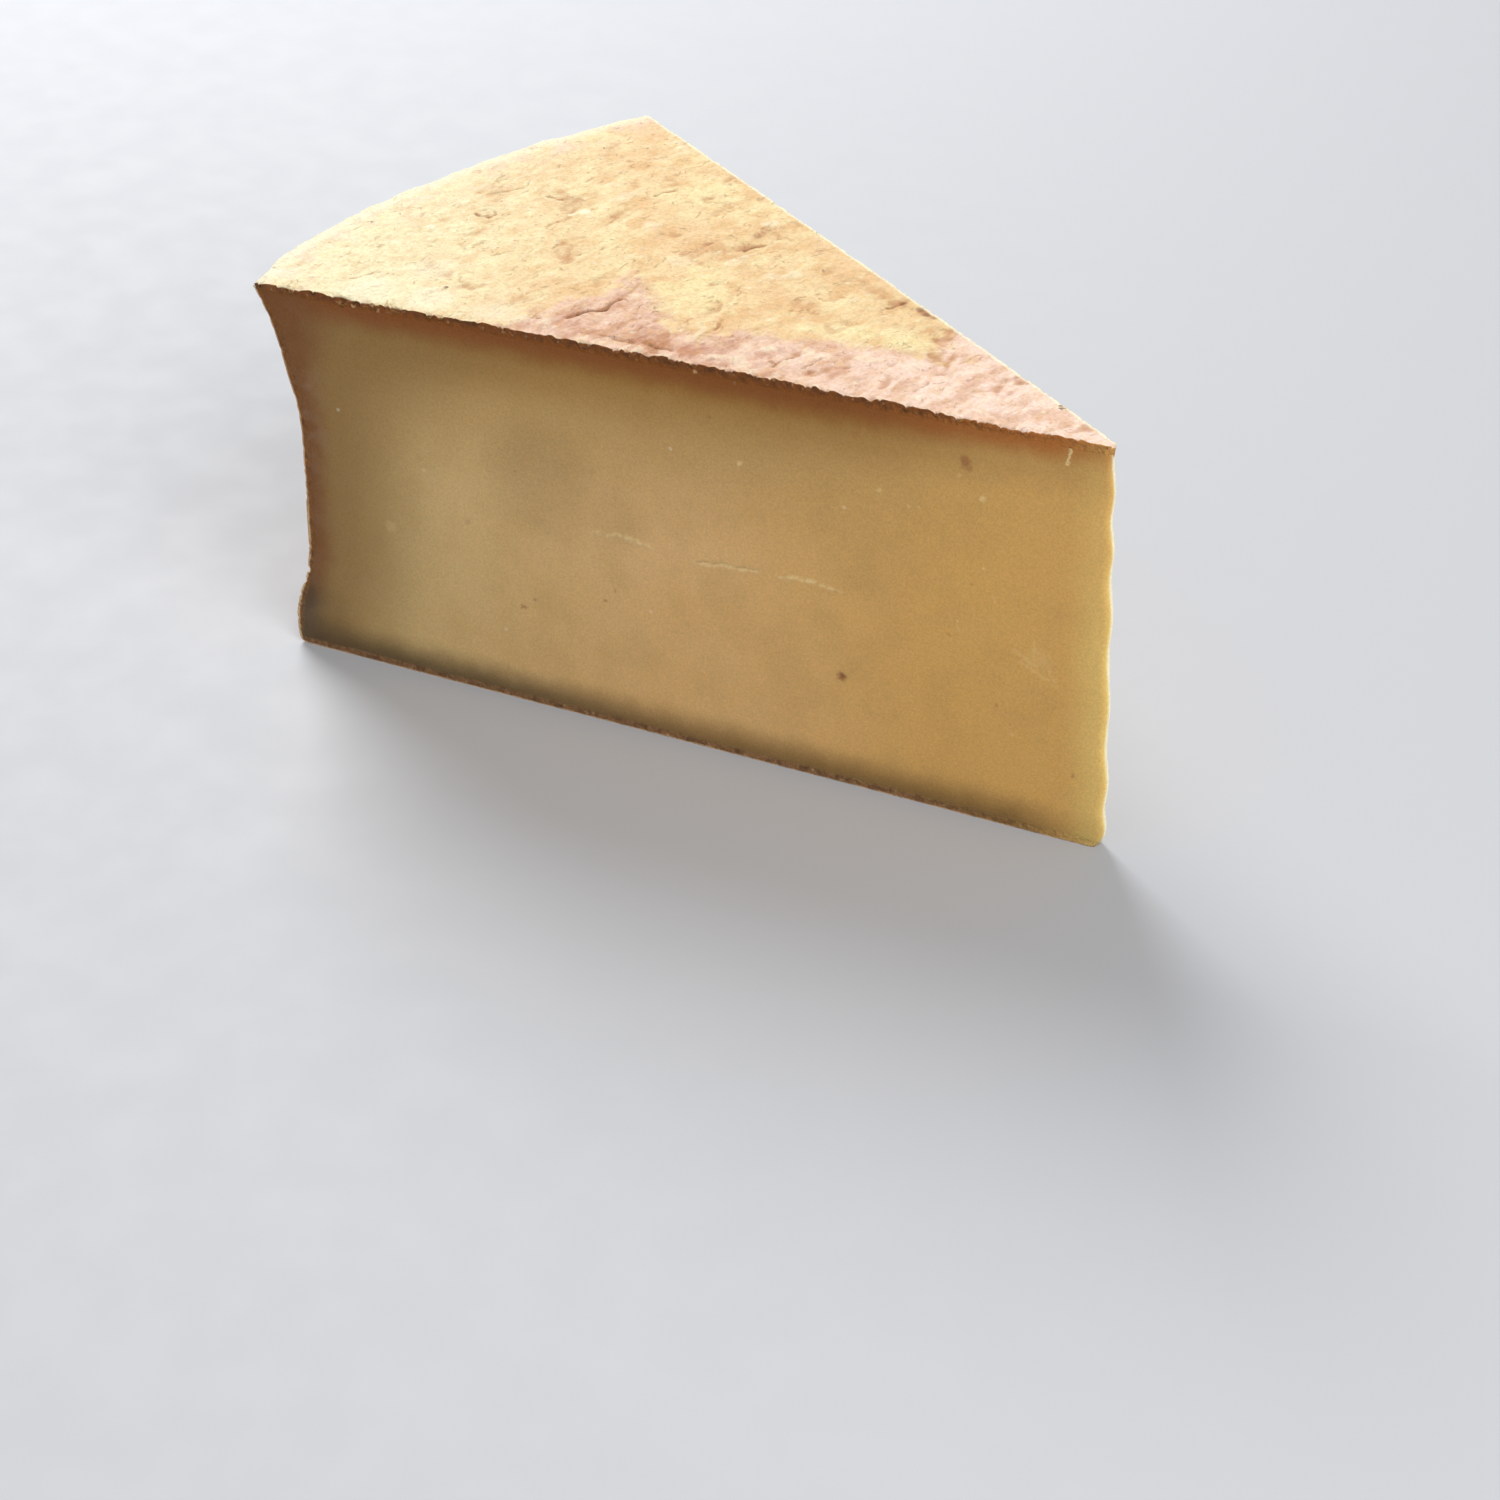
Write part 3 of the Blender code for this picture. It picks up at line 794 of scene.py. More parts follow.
def heel_setback(height):
    """How far the wheel's side lies behind its rim: a parabola, then a slope and an eased swelling."""
    above = np.clip((RIM_HEIGHT - height) / (RIM_HEIGHT - WAIST_HEIGHT), 0.0, 1.0)
    below = np.clip((WAIST_HEIGHT - height) / (WAIST_HEIGHT - FOOT_HEIGHT), 0.0, 1.0)
    hollow = WAIST_SETBACK * (1.0 - (1.0 - above) ** 2)
    swell = SLOPE_RISE * below + SWELL_RISE * smoothstep(below, SWELL_START, SWELL_START + SWELL_LENGTH)
    return hollow - swell


def edge_rounding(depth, radius):
    """How far a rounded edge lies back at a depth under its face, from its radius at 0 down to 0."""
    left = np.clip(1.0 - depth / radius, 0.0, 1.0)
    return 1.0 - np.sqrt(1.0 - left**2)


def heel_radius(y, height):
    """The distance from the wheel's axis to its side, with rounded edges and a worn corner."""
    top = top_height(WHEEL_RADIUS)
    radius = WHEEL_RADIUS - heel_setback(height)
    radius = radius - RIM_ROUNDING * edge_rounding(top - height, RIM_ROUNDING)
    radius = radius - FOOT_TURN_IN * edge_rounding(height, FOOT_ROUNDING)
    along_rim = WHEEL_RADIUS * (np.arcsin(y / WHEEL_RADIUS) + HALF_ANGLE)
    reach = smoothstep(height, WORN_CORNER_FOOT, RIM_HEIGHT)
    return radius - WORN_CORNER_DEPTH * bell(along_rim, WORN_CORNER_WIDTH) * reach


def apex(height):
    """Where the two cuts would meet at a height. The back cut leans out, so this point moves out too."""
    run = BACK_CUT_LEAN / math.sin(2.0 * HALF_ANGLE) * (1.0 - height / WHEEL_HEIGHT)
    return run * math.cos(HALF_ANGLE), run * math.sin(HALF_ANGLE)


def nose_reach(angle, height):
    """The distance from the apex to the blunt nose: a small circle that touches both cuts, with waves.

    Its lowest part is worn back.
    """
    centre = NOSE_RADIUS / math.sin(HALF_ANGLE)
    rest = np.maximum(NOSE_RADIUS**2 - (centre * np.sin(angle)) ** 2, 0.0)
    wander = NOSE_WANDER * np.sin(2.0 * math.pi * height / NOSE_WANDER_LENGTH)
    wave = NOSE_WAVE * np.sin(2.0 * math.pi * height / NOSE_WAVELENGTH + wander)
    ends = smoothstep(np.minimum(height, WHEEL_HEIGHT - height) / RELIEF_FOOT_FADE)
    low = np.clip(1.0 - height / NOSE_FOOT_HEIGHT, 0.0, 1.0)
    return centre * np.cos(angle) - np.sqrt(rest) - wave * ends + NOSE_FOOT_SETBACK * low**2


def heel_reach(angle, height):
    """The distance from the apex to the wheel's side along a direction: a line's meeting with a circle."""
    start_x, start_y = apex(height)
    radius = heel_radius(WHEEL_RADIUS * np.sin(angle), height)
    towards = -start_x * np.cos(angle) + start_y * np.sin(angle)
    return -towards + np.sqrt(radius**2 - start_x**2 - start_y**2 + towards**2)


def wedge_points(angle, share, height, shrink=0.0):
    """Points of the wedge, from the nose at share 0 to the heel at share 1.

    They lie on the line from the apex in a direction, at a height that follows the domed top. The
    shrink shortens every distance from the apex by that part of it.
    """
    start_x, start_y = apex(height)
    nose = nose_reach(angle, height)
    distance = (nose + share * (heel_reach(angle, height) - nose)) * (1.0 - shrink)
    x = start_x - distance * np.cos(angle)
    y = start_y + distance * np.sin(angle)
    z = height * top_height(np.hypot(x, y)) / top_height(WHEEL_RADIUS)
    return np.column_stack((x, y, z))


def share_at(distance, height):
    """The share of the way from nose to heel, along the front cut, of a distance from the wheel's axis."""
    nose = nose_reach(-HALF_ANGLE, height)
    return (distance - nose) / (heel_reach(-HALF_ANGLE, height) - nose)


def depths_of(points, angle, share):
    """How deep each point lies under the top, behind the heel, over the foot, and from the nose."""
    rho = np.hypot(points[:, 0], points[:, 1])
    under = top_height(rho) - points[:, 2]
    behind = heel_radius(WHEEL_RADIUS * np.sin(angle), points[:, 2]) - rho
    return np.column_stack((under, behind, points[:, 2], share * WHEEL_RADIUS))


# The relief

def top_share(points):
    """How much a point belongs to the top: 0 on the heel, and easing to 1 round the rim."""
    return smoothstep((points[:, 2] - RIM_HEIGHT) / RIM_ROUNDING + 1.0)


def bells_at(points, spots):
    """The sum of round bells, each with a level place, a radius and a depth."""
    total = np.zeros(len(points))
    for x, y, radius, depth in spots:
        total += depth * bell(np.linalg.norm(points[:, :2] - (x, y), axis=1), radius)
    return total


def offset_from(places, start, end):
    """The way to each place from the nearest point of a straight stretch, and the stretch's run."""
    first = np.array(start)
    along = np.array(end) - first
    part = np.clip((places - first) @ along / (along @ along), 0.0, 1.0)
    return places - first - part[:, None] * along, along


def rind_relief(points):
    """The part's own relief: layers of bumps, fading at the foot, and the top's dents."""
    on_top = top_share(points)
    height = layered_bumps(points, RELIEF_LAYERS) * smoothstep(points[:, 2] / RELIEF_FOOT_FADE)
    height *= 1.0 - (1.0 - TOP_RELIEF_SHARE) * on_top
    return height - DENT_SHARE * bells_at(points, TOP_DENTS) * on_top


def crack_places(points):
    """The level places of the points, wavering, in which the cracks are straight."""
    waver = [bumps(points, CRACK_WAVER_LENGTH, seed) for seed in CRACK_WAVER_SEEDS]
    return points[:, :2] + CRACK_WAVER * np.column_stack(waver)


def crack_relief(points, places):
    """How deep the broken rings round the dents, and the cracks and creases, are sunk.

    A crack is deepest on the line between two places and fades out as a bell curve.
    """
    breaks = DENT_RING_BREAKS * bumps(points, CRACK_WAVER_LENGTH, DENT_RING_SEED)
    broken = smoothstep(DENT_RING_LEVEL + breaks)
    sunk = np.zeros(len(points))
    for x, y, radius, _ in TOP_DENTS:
        away = np.linalg.norm(places - (x, y), axis=1)
        sunk += DENT_RING_DEPTH * broken * bell(away - radius, DENT_RING_WIDTH)
    for start, end, half_width, depth in TOP_CRACKS:
        offset, _ = offset_from(places, start, end)
        sunk += depth * bell(np.linalg.norm(offset, axis=1), half_width)
    return sunk * top_share(points)


def flakes(points):
    """Flat flakes with steep edges: a noise turned into steps, stronger in some places than in others."""
    level = bumps(drawn_out(points, FLAKE_STRETCH), FLAKE_WAVELENGTH, FLAKE_SEED)
    steps = sum(smoothstep((level - edge) / FLAKE_EDGE) for edge in FLAKE_LEVELS) - len(FLAKE_LEVELS) / 2.0
    return FLAKE_DEPTH * steps * smoothstep(0.5 + bumps(points, FLAKE_BREAK_LENGTH, FLAKE_BREAK_SEED))


def ridges(points, stretch, wavelength, seed):
    """Sharp ridges: the size of a drawn-out noise, less its usual level."""
    return np.abs(bumps(drawn_out(points, stretch), wavelength, seed)) - RIDGE_LEVEL


def fine_relief(points, tan, pink):
    """Small bumps and flakes, ridges where the rind is tan, and folds where it is pink."""
    on_top = top_share(points)
    height = flakes(points)
    for wavelength, depth, seed, stretch in FINE_LAYERS:
        height += depth * bumps(drawn_out(points, stretch), wavelength, seed)
    height *= 1.0 - PALE_SIDE_CALM * on_top * (1.0 - np.maximum(tan, pink)) - HEEL_CALM * (1.0 - on_top)
    height += bells_at(points, TOP_CRUMBS) * on_top
    height += ROUGH_DEPTH * ridges(points, ROUGH_STRETCH, ROUGH_WAVELENGTH, ROUGH_SEED) * tan
    height -= WRINKLE_DEPTH * ridges(points, WRINKLE_STRETCH, WRINKLE_WAVELENGTH, WRINKLE_SEED) * pink
    return height * smoothstep(points[:, 2] / FINE_FOOT_FADE)


# Meshes

def zip_rows(first, second, first_at, second_at):
    """Triangles between two rows of points whose positions along the rows both run upwards.

    The steps of both rows are sorted by their middles, and each step makes one triangle with the
    other row's newest point.
    """
    middles = np.concatenate(((first_at[1:] + first_at[:-1]) / 2.0, (second_at[1:] + second_at[:-1]) / 2.0))
    of_first = np.arange(len(middles)) < len(first_at) - 1
    order = np.argsort(middles, kind="stable")
    of_first = of_first[order]
    done_first = np.cumsum(of_first) - of_first
    done_second = np.cumsum(~of_first) - ~of_first
    a, b = first[done_first], second[done_second]
    next_a = first[np.minimum(done_first + 1, len(first) - 1)]
    next_b = second[np.minimum(done_second + 1, len(second) - 1)]
    third = np.where(of_first, next_a, next_b)
    return np.column_stack((a, third, b))


def closed_band(first, second, first_lap, second_lap):
    """Triangles between two closed loops. Each loop's first point is met again after one full lap."""
    return zip_rows(
        np.append(first, first[0]),
        np.append(second, second[0]),
        np.append(first_lap, FULL_LAP),
        np.append(second_lap, FULL_LAP),
    )


def add_object(name, data):
    """A new object in the scene."""
    added = bpy.data.objects.new(name, data)
    bpy.context.scene.collection.objects.link(added)
    return added


def add_piece(name, points, triangles, material, attributes):
    """A smoothly shaded mesh in its place, with attributes of three or four numbers on its points.

    The points move from the wheel's own place to the part's, and stay inside the part's box.
    """
    placed = np.clip(points + WHEEL_AXIS, cad_low, cad_high)
    mesh = bpy.data.meshes.new(name)
    mesh.vertices.add(len(placed))
    mesh.vertices.foreach_set("co", placed.ravel())
    mesh.loops.add(triangles.size)
    mesh.loops.foreach_set("vertex_index", triangles.ravel())
    mesh.polygons.add(len(triangles))
    mesh.polygons.foreach_set("loop_start", np.arange(0, triangles.size, 3))
    mesh.update(calc_edges=True)
    mesh.shade_smooth()
    for label, values in attributes.items():
        four = values.shape[1] == 4
        layer = mesh.attributes.new(label, "FLOAT_COLOR" if four else "FLOAT_VECTOR", "POINT")
        layer.data.foreach_set("color" if four else "vector", values.ravel())
    mesh.materials.append(material)
    return add_object(name, mesh)


# The rind

def rind_rows():
    """The rind's rows, from the nose over the top, down the heel and back under the foot.

    Each row has a share of the way from the nose to the heel, a height, a width from cut to cut, and
    the spacing of its points.
    """
    top = top_height(WHEEL_RADIUS)
    fine = ROUNDED_SPACING / WHEEL_RADIUS
    reach = ROUNDED_REACH / WHEEL_RADIUS
    outward = spaced(0.0, 1.0, TOP_SPACING / WHEEL_RADIUS, (1.0,), fine, reach)
    down = spaced(0.0, top, HEEL_SPACING, (0.0, top), ROUNDED_SPACING, ROUNDED_REACH)[::-1][1:]
    inward = spaced(0.0, 1.0, BOTTOM_SPACING / WHEEL_RADIUS, (0.0,), fine, reach)[::-1][1:]
    share = np.concatenate((outward, np.ones(len(down)), inward))
    height = np.concatenate((np.full(len(outward), top), down, np.zeros(len(inward))))
    width = 2.0 * HALF_ANGLE * (NOSE_RADIUS / math.tan(HALF_ANGLE) * (1.0 - share) + WHEEL_RADIUS * share)
    spacing = np.where(share == 1.0, HEEL_SPACING, np.where(height == 0.0, BOTTOM_SPACING, TOP_SPACING))
    return share, height, width, spacing


def rind_loop(width, spacing):
    """One loop round the rind's section: outer arc, back edge, inner arc and front edge.

    Each point has a share of the way across from the front cut to the back cut, a depth from 0
    outside to 1 inside, and a lap that runs from 0 to 4 round the loop.
    """
    across = spaced(0.0, width, spacing, (0.0, width), EDGE_SPACING, EDGE_REACH) / width
    down = spaced(0.0, 1.0, SECTION_STEP, (0.0, 1.0), SECTION_FINEST, SECTION_FOCUS)[1:-1]
    hidden = np.linspace(0.0, 1.0, max(2, round(width / HIDDEN_SPACING)) + 1)
    share = np.concatenate((across, np.ones(len(down)), hidden[::-1], np.zeros(len(down))))
    depth = np.concatenate((np.zeros(len(across)), down, np.ones(len(hidden)), down[::-1]))
    lap = np.concatenate((across, 1.0 + down, 3.0 - hidden[::-1], 3.0 + down))
    return share, depth, lap


def row_directions(share, height):
    """Which way each row faces: the profile's own slope, turned a quarter, as outward and upward parts."""
    middle = wedge_points(np.zeros(len(share)), share, height)
    outward = np.gradient(np.hypot(middle[:, 0], middle[:, 1]))
    upward = np.gradient(middle[:, 2])
    length = np.hypot(outward, upward)
    return -upward / length, outward / length


def pink_share(places):
    """How pink the top rind is: full on the front cut's side of a line, fading across it.

    Where two stretches of the line are equally near, the one that the place is more beside decides.
    """
    nearest = np.full(len(places), np.inf)
    side = np.zeros(len(places))
    for start, end in zip(PINK_LINE[:-1], PINK_LINE[1:]):
        offset, along = offset_from(places, start, end)
        away = np.linalg.norm(offset, axis=1)
        right = (along[1] * offset[:, 0] - along[0] * offset[:, 1]) / np.linalg.norm(along)
        at_corner = np.abs(away - nearest) < CORNER_TIE
        nearer = (away < nearest) & ~at_corner
        more_beside = at_corner & (np.abs(right) > np.abs(side))
        side = np.where(nearer | more_beside, right, side)
        nearest = np.minimum(nearest, away)
    return smoothstep(0.5 + 0.5 * np.sign(side) * nearest / PINK_FADE)


def patch_share(places, patches):
    """The strongest of some oval patches that fade out as bell curves."""
    strongest = np.zeros(len(places))
    for x, y, radius_x, radius_y, strength in patches:
        away = np.hypot((places[:, 0] - x) / radius_x, (places[:, 1] - y) / radius_y)
        strongest = np.maximum(strongest, strength * bell(away, 1.0))
    return strongest


def torn_edges(points, across, on_top):
    """How strongly the knife tore each point's edge, its raggedness, and how far it is broken away.

    The front cut is torn more than the back one, and the top more than the heel. One bite is missing
    from the front edge.
    """
    at_front = across < 0.5
    side = np.where(at_front, 1.0, RAGGED_BACK_SHARE)
    torn = side * (RAGGED_HEEL_SHARE + (1.0 - RAGGED_HEEL_SHARE) * on_top)
    ragged = layered_bumps(points, RAGGED_LAYERS)
    rho = np.hypot(points[:, 0], points[:, 1])
    bite = bell(rho - BITE_RADIUS, BITE_HALF_LENGTH) * on_top * at_front
    broken = smoothstep((ragged - RAGGED_LEVEL) / RAGGED_RANGE) + BITE_DEPTH / RAGGED_SINK * bite
    return torn, ragged, broken


def rind_triangles(loops):
    """A band between each two neighbouring loops, and a cap on the first and the last."""
    laps = [lap for _, _, lap in loops]
    starts = np.concatenate(([0], np.cumsum([len(lap) for lap in laps])))
    rings = [np.arange(start, end) for start, end in zip(starts[:-1], starts[1:])]
    bands = [closed_band(*pair) for pair in zip(rings[:-1], rings[1:], laps[:-1], laps[1:])]
    caps = [rind_cap(loops[0], starts[0], True), rind_cap(loops[-1], starts[-2], False)]
    return np.concatenate(bands + caps)


def rind_cap(loop, start, first):
    """Closes one end of the rind: the outer arc is zipped to the rest of its loop, taken backwards."""
    across, _, lap = loop
    outer = np.flatnonzero(lap <= 1.0)
    rest = np.flatnonzero(lap > 1.0)[::-1]
    if first:
        outer, rest = rest, outer
    return zip_rows(outer + start, rest + start, across[outer], across[rest])


def build_rind():
    """The rind: a closed loop carried along the wheel's profile and roughened.

    The points move along the row's direction by the relief. Near the cuts they sink by a random
    amount, and the edges themselves move out of the cut by another.
    """
    row_share, row_height, row_width, row_spacing = rind_rows()
    row_out, row_up = row_directions(row_share, row_height)
    loops = [rind_loop(width, spacing) for width, spacing in zip(row_width, row_spacing)]
    row = np.repeat(np.arange(len(loops)), [len(lap) for _, _, lap in loops])
    across = np.concatenate([share for share, _, _ in loops])
    depth = np.concatenate([down for _, down, _ in loops])
    outward, upward, width = row_out[row], row_up[row], row_width[row]
    angle = (2.0 * across - 1.0) * HALF_ANGLE
    height = row_height[row]
    height = height + depth * RIND_THICKNESS * (1.0 - 2.0 * height / top_height(WHEEL_RADIUS))
    points = wedge_points(angle, row_share[row], height, RIND_SIDE_SHRINK * depth)

    on_top = smoothstep(upward * TOP_SHARPNESS)
    tan = patch_share(points[:, :2], TAN_PATCHES) * on_top
    pink = pink_share(points[:, :2]) * on_top
    crack_place = crack_places(points)
    cracks = crack_relief(points, crack_place)
    fine = fine_relief(points, tan, pink)
    torn, ragged, broken = torn_edges(points, across, on_top)
    from_front, from_back = across * width, (1.0 - across) * width
    at_edge = bell(np.minimum(from_front, from_back), RAGGED_FADE)

    sink = RAGGED_SINK * at_edge * torn * broken
    calm_edge = np.maximum(bell(from_back, CUT_EDGE_REACH), bell(from_front, CUT_EDGE_REACH) * (1.0 - on_top))
    relief = (rind_relief(points) + fine - cracks) * (1.0 - CUT_EDGE_CALM * calm_edge)
    lift = (relief - sink) * (1.0 - depth) ** 2
    facing = np.column_stack((-np.cos(angle) * outward, np.sin(angle) * outward, upward))
    tuck = SECTION_TUCK * smoothstep(depth, SECTION_TUCK_START)
    push = RAGGED_REACH * (RAGGED_LEAN + ragged) * torn * (1.0 - depth) ** 2
    push = (push + layered_bumps(points, CUT_LAYERS) - tuck) * at_edge
    cut_normal = np.where((across < 0.5)[:, None], FRONT_NORMAL, BACK_NORMAL)
    moved = points + facing * lift[:, None] + cut_normal * push[:, None]

    hollow = np.clip(0.5 - (fine - cracks) / HOLLOW_RANGE, 0.0, 1.0)
    butter = patch_share(points[:, :2], BUTTER_PATCHES) * on_top
    side = smoothstep(outward * SIDE_SHARPNESS)
    underside = np.clip(-upward, 0.0, 1.0)
    lip = bell(from_front, LIP_WIDTH) * on_top
    torn_open = at_edge * torn * broken * (1.0 - depth)
    attributes = {
        "patches": np.column_stack((pink, butter, tan, hollow)),
        "layout": np.column_stack((side, underside, lip, torn_open)),
        "depths": depths_of(points, angle, row_share[row]),
        "crack_place": np.column_stack((crack_place + WHEEL_AXIS[:2], np.zeros(len(points)))),
    }
    return add_piece("rind", moved, rind_triangles(loops), rind_material(), attributes)


# The paste

def slit_marks(points):
    """How open each slit is, and how far its pale lip shows.

    Both are bells across a wavering line, fading at its ends and broken by a fine noise.
    """
    along = points @ FRONT_ALONG
    waver = SLIT_WAVER * bumps(points, SLIT_WAVER_LENGTH, SLIT_SEED)
    breaks = bumps(points, SLIT_BREAK_LENGTH, SLIT_SEED)
    opening = np.zeros(len(points))
    lip = np.zeros(len(points))
    for line, dark, pale in SLITS:
        distances, heights = np.array(line).T
        middle, half = (distances[0] + distances[-1]) / 2.0, (distances[-1] - distances[0]) / 2.0
        reach = 1.0 - smoothstep(np.abs(along - middle) / half, SLIT_FULL_SHARE)
        across = points[:, 2] - np.interp(along, distances, heights) + waver
        opened = dark * bell(across, SLIT_HALF_OPENING) * smoothstep(SLIT_LEVEL + breaks)
        raised = pale * bell(across + SLIT_LIP_DROP, SLIT_LIP_HALF_HEIGHT)
        opening += reach * opened
        lip += reach * raised * smoothstep(SLIT_LIP_LEVEL + SLIT_LIP_BREAKS * breaks)
    return opening, lip


def eye_pits(points):
    """The larger eyes' depth: a bell round each one."""
    along = points @ FRONT_ALONG
    height = np.zeros(len(points))
    for distance, middle, radius, _ in EYES[:PITTED_EYES]:
        away = np.hypot(along - distance, points[:, 2] - middle)
        height -= EYE_DEPTH_SHARE * radius * bell(away, EYE_PIT_WIDTH * radius)
    return height


def paste_outline():
    """One level loop: along the front cut, round the nose, along the back cut and back under the heel's rind.

    Each point has a share of the way from the nose to the heel, and a turn that runs from -1 on the front
    cut to 1 on the back cut. The numbers of points on the front cut and under the heel come with them.
    """
    last = 1.0 - PASTE_UNDER_RIND / WHEEL_RADIUS
    reach = PASTE_FOCUS_REACH / WHEEL_RADIUS
    slits = [share_at(*place) for line, *_ in SLITS for place in line]
    focus = [share_at(distance, height) for distance, height, *_ in EYES[:PITTED_EYES]]
    focus += [1.0 - RIND_SIDE_SHRINK, *np.arange(min(slits), max(slits), reach)]
    front = spaced(0.0, last, PASTE_SPACING / WHEEL_RADIUS, focus, PASTE_FOCUS_SPACING / WHEEL_RADIUS, reach)
    back = np.linspace(0.0, last, round(WHEEL_RADIUS / PASTE_BACK_SPACING))
    nose = np.linspace(-1.0, 1.0, PASTE_NOSE_STEPS)
    arc = np.linspace(1.0, -1.0, PASTE_HIDDEN_STEPS)[1:-1]
    share = np.concatenate((front[:0:-1], np.zeros(len(nose)), back[1:], np.full(len(arc), last)))
    turn = np.concatenate((-np.ones(len(front) - 1), nose, np.ones(len(back) - 1), arc))
    return share, turn, len(front) - 1, len(arc)


def paste_levels():
    """The heights of the paste's loops, closer together at the slits, the eyes and the rind's inner side."""
    top = top_height(WHEEL_RADIUS)
    focus = [height for _, height, *_ in EYES[:PITTED_EYES]]
    focus += [height for line, *_ in SLITS for _, height in line] + [RIND_THICKNESS, top - RIND_THICKNESS]
    low, high = PASTE_FOOT_GAP, top - PASTE_TOP_GAP
    return spaced(low, high, PASTE_SPACING, focus, PASTE_FOCUS_SPACING, PASTE_FOCUS_REACH)


def paste_triangles(rows, forward, front_count, arc_count):
    """The sides between the loops, two triangles to each square, and a floor and a roof.

    The floor and the roof are zipped from the nose to the heel, between the front half of a loop and its
    back half, by how far forward their points lie.
    """
    columns = len(forward)
    index = np.arange(rows * columns).reshape(rows, columns)
    beside = np.roll(index, -1, axis=1)
    low, high = index[:-1].ravel(), index[1:].ravel()
    low_beside, high_beside = beside[:-1].ravel(), beside[1:].ravel()
    middle = front_count + PASTE_NOSE_STEPS // 2
    turn_back = columns - arc_count // 2
    front_half = np.concatenate((np.arange(middle, -1, -1), np.arange(columns - 1, turn_back - 1, -1)))
    back_half = np.arange(middle + 1, turn_back)
    at_front, at_back = forward[front_half], forward[back_half]
    roof = (rows - 1) * columns
    return np.concatenate((
        np.column_stack((low, low_beside, high_beside)),
        np.column_stack((low, high_beside, high)),
        zip_rows(front_half, back_half, at_front, at_back),
        zip_rows(back_half + roof, front_half + roof, at_back, at_front),
    ))


def build_paste():
    """The paste: a stack of closed level loops.

    The cuts carry soft waves, the front one the slits and the eyes, and the nose's edge small scallops.
    Where the rind covers it, the paste is tucked in a little.
    """
    outline_share, outline_turn, front_count, arc_count = paste_outline()
    levels = paste_levels()
    rows, columns = len(levels), len(outline_share)
    share, turn = np.tile(outline_share, rows), np.tile(outline_turn, rows)
    column = np.tile(np.arange(columns), rows)
    on_front = column < front_count
    under_heel = column >= columns - arc_count
    points = wedge_points(turn * HALF_ANGLE, share, np.repeat(levels, columns))
    depths = depths_of(points, turn * HALF_ANGLE, share)

    opening, lip = (marks * on_front for marks in slit_marks(points))
    relief = layered_bumps(points, CUT_LAYERS)
    relief += SLIT_LIP * lip - SLIT_DEPTH * opening + eye_pits(points) * on_front
    near_rind = depths[:, :3].min(axis=1) / RIND_THICKNESS
    scallops = layered_bumps(points, SCALLOP_LAYERS) * bell(share * WHEEL_RADIUS, SCALLOP_WIDTH)
    relief += scallops * smoothstep(near_rind - SCALLOP_START)
    relief -= PASTE_TUCK * (1.0 - smoothstep(near_rind, *PASTE_TUCK_RANGE))
    facing = turn * (math.pi / 2.0 - HALF_ANGLE)
    normal = np.column_stack((np.cos(facing), np.sin(facing), np.zeros(len(turn)))) * ~under_heel[:, None]
    moved = points + normal * relief[:, None]

    turned = (turn + 1.0) / 2.0 * ~under_heel
    attributes = {"depths": depths, "marks": np.column_stack((opening, lip, turned))}
    triangles = paste_triangles(rows, -points[:columns, 0], front_count, arc_count)
    return add_piece("paste", moved, triangles, paste_material(), attributes)


# Shader helpers

def add_node(tree, kind, inputs=None, **settings):
    """Adds a node, sets its properties, and links or sets the inputs given by name or number."""
    node = tree.nodes.new(kind)
    for label, value in settings.items():
        setattr(node, label, value)
    for key, value in (inputs or {}).items():
        socket = node.inputs[key]
        if isinstance(value, bpy.types.NodeSocket):
            tree.links.new(value, socket)
        else:
            socket.default_value = value
    return node


def math_of(tree, operation, first, *others, held=False):
    """Numbers put together from left to right by one operation."""
    for other in others:
        node = add_node(tree, "ShaderNodeMath", {0: first, 1: other}, operation=operation, use_clamp=held)
        first = node.outputs[0]
    return first


def product(tree, *factors):
    """The factors multiplied together."""
    return math_of(tree, "MULTIPLY", *factors)


def vector_math(tree, operation, first, second, output="Vector"):
    """Two vectors put together by an operation."""
    return add_node(tree, "ShaderNodeVectorMath", {0: first, 1: second}, operation=operation).outputs[output]


def fade(tree, value, near, far, low, high):
    """An eased ramp of a value, from the low result at near to the high result at far."""
    inputs = {"Value": value, "From Min": near, "From Max": far, "To Min": low, "To Max": high}
    return add_node(tree, "ShaderNodeMapRange", inputs, interpolation_type="SMOOTHSTEP").outputs[0]


def ramp(tree, value, name):
    """A value faded by a named row of the ramps."""
    return fade(tree, value, *RAMPS[name])


def linear(seen):
    """The linear numbers that a shader takes for a colour given as it is seen, 0 to 255."""
    share = np.array(seen) / 255.0
    light = np.where(share <= 0.04045, share / 12.92, ((share + 0.055) / 1.055) ** 2.4)
    return (*light.tolist(), 1.0)


def blend(tree, amount, first, second, kind="MIX"):
    """A mix of two colours, each a socket or a colour as seen, by an amount."""
    node = add_node(tree, "ShaderNodeMix", {"Factor": amount}, data_type="RGBA", blend_type=kind)
    for socket, value in ((node.inputs[6], first), (node.inputs[7], second)):
        if isinstance(value, bpy.types.NodeSocket):
            tree.links.new(value, socket)
        else:
            socket.default_value = linear(value)
    return node.outputs[2]


def tint(tree, base, colour, *shares):
    """A base colour moved towards another by the product of some shares."""
    return blend(tree, product(tree, *shares), base, colour)


def grained(tree, base, grain, name):
    """A colour made a little darker and lighter by a fine grain, through a named ramp."""
    tone = ramp(tree, grain, name)
    grey = add_node(tree, "ShaderNodeCombineColor", {0: tone, 1: tone, 2: tone}).outputs[0]
    return blend(tree, 1.0, base, grey, "MULTIPLY")


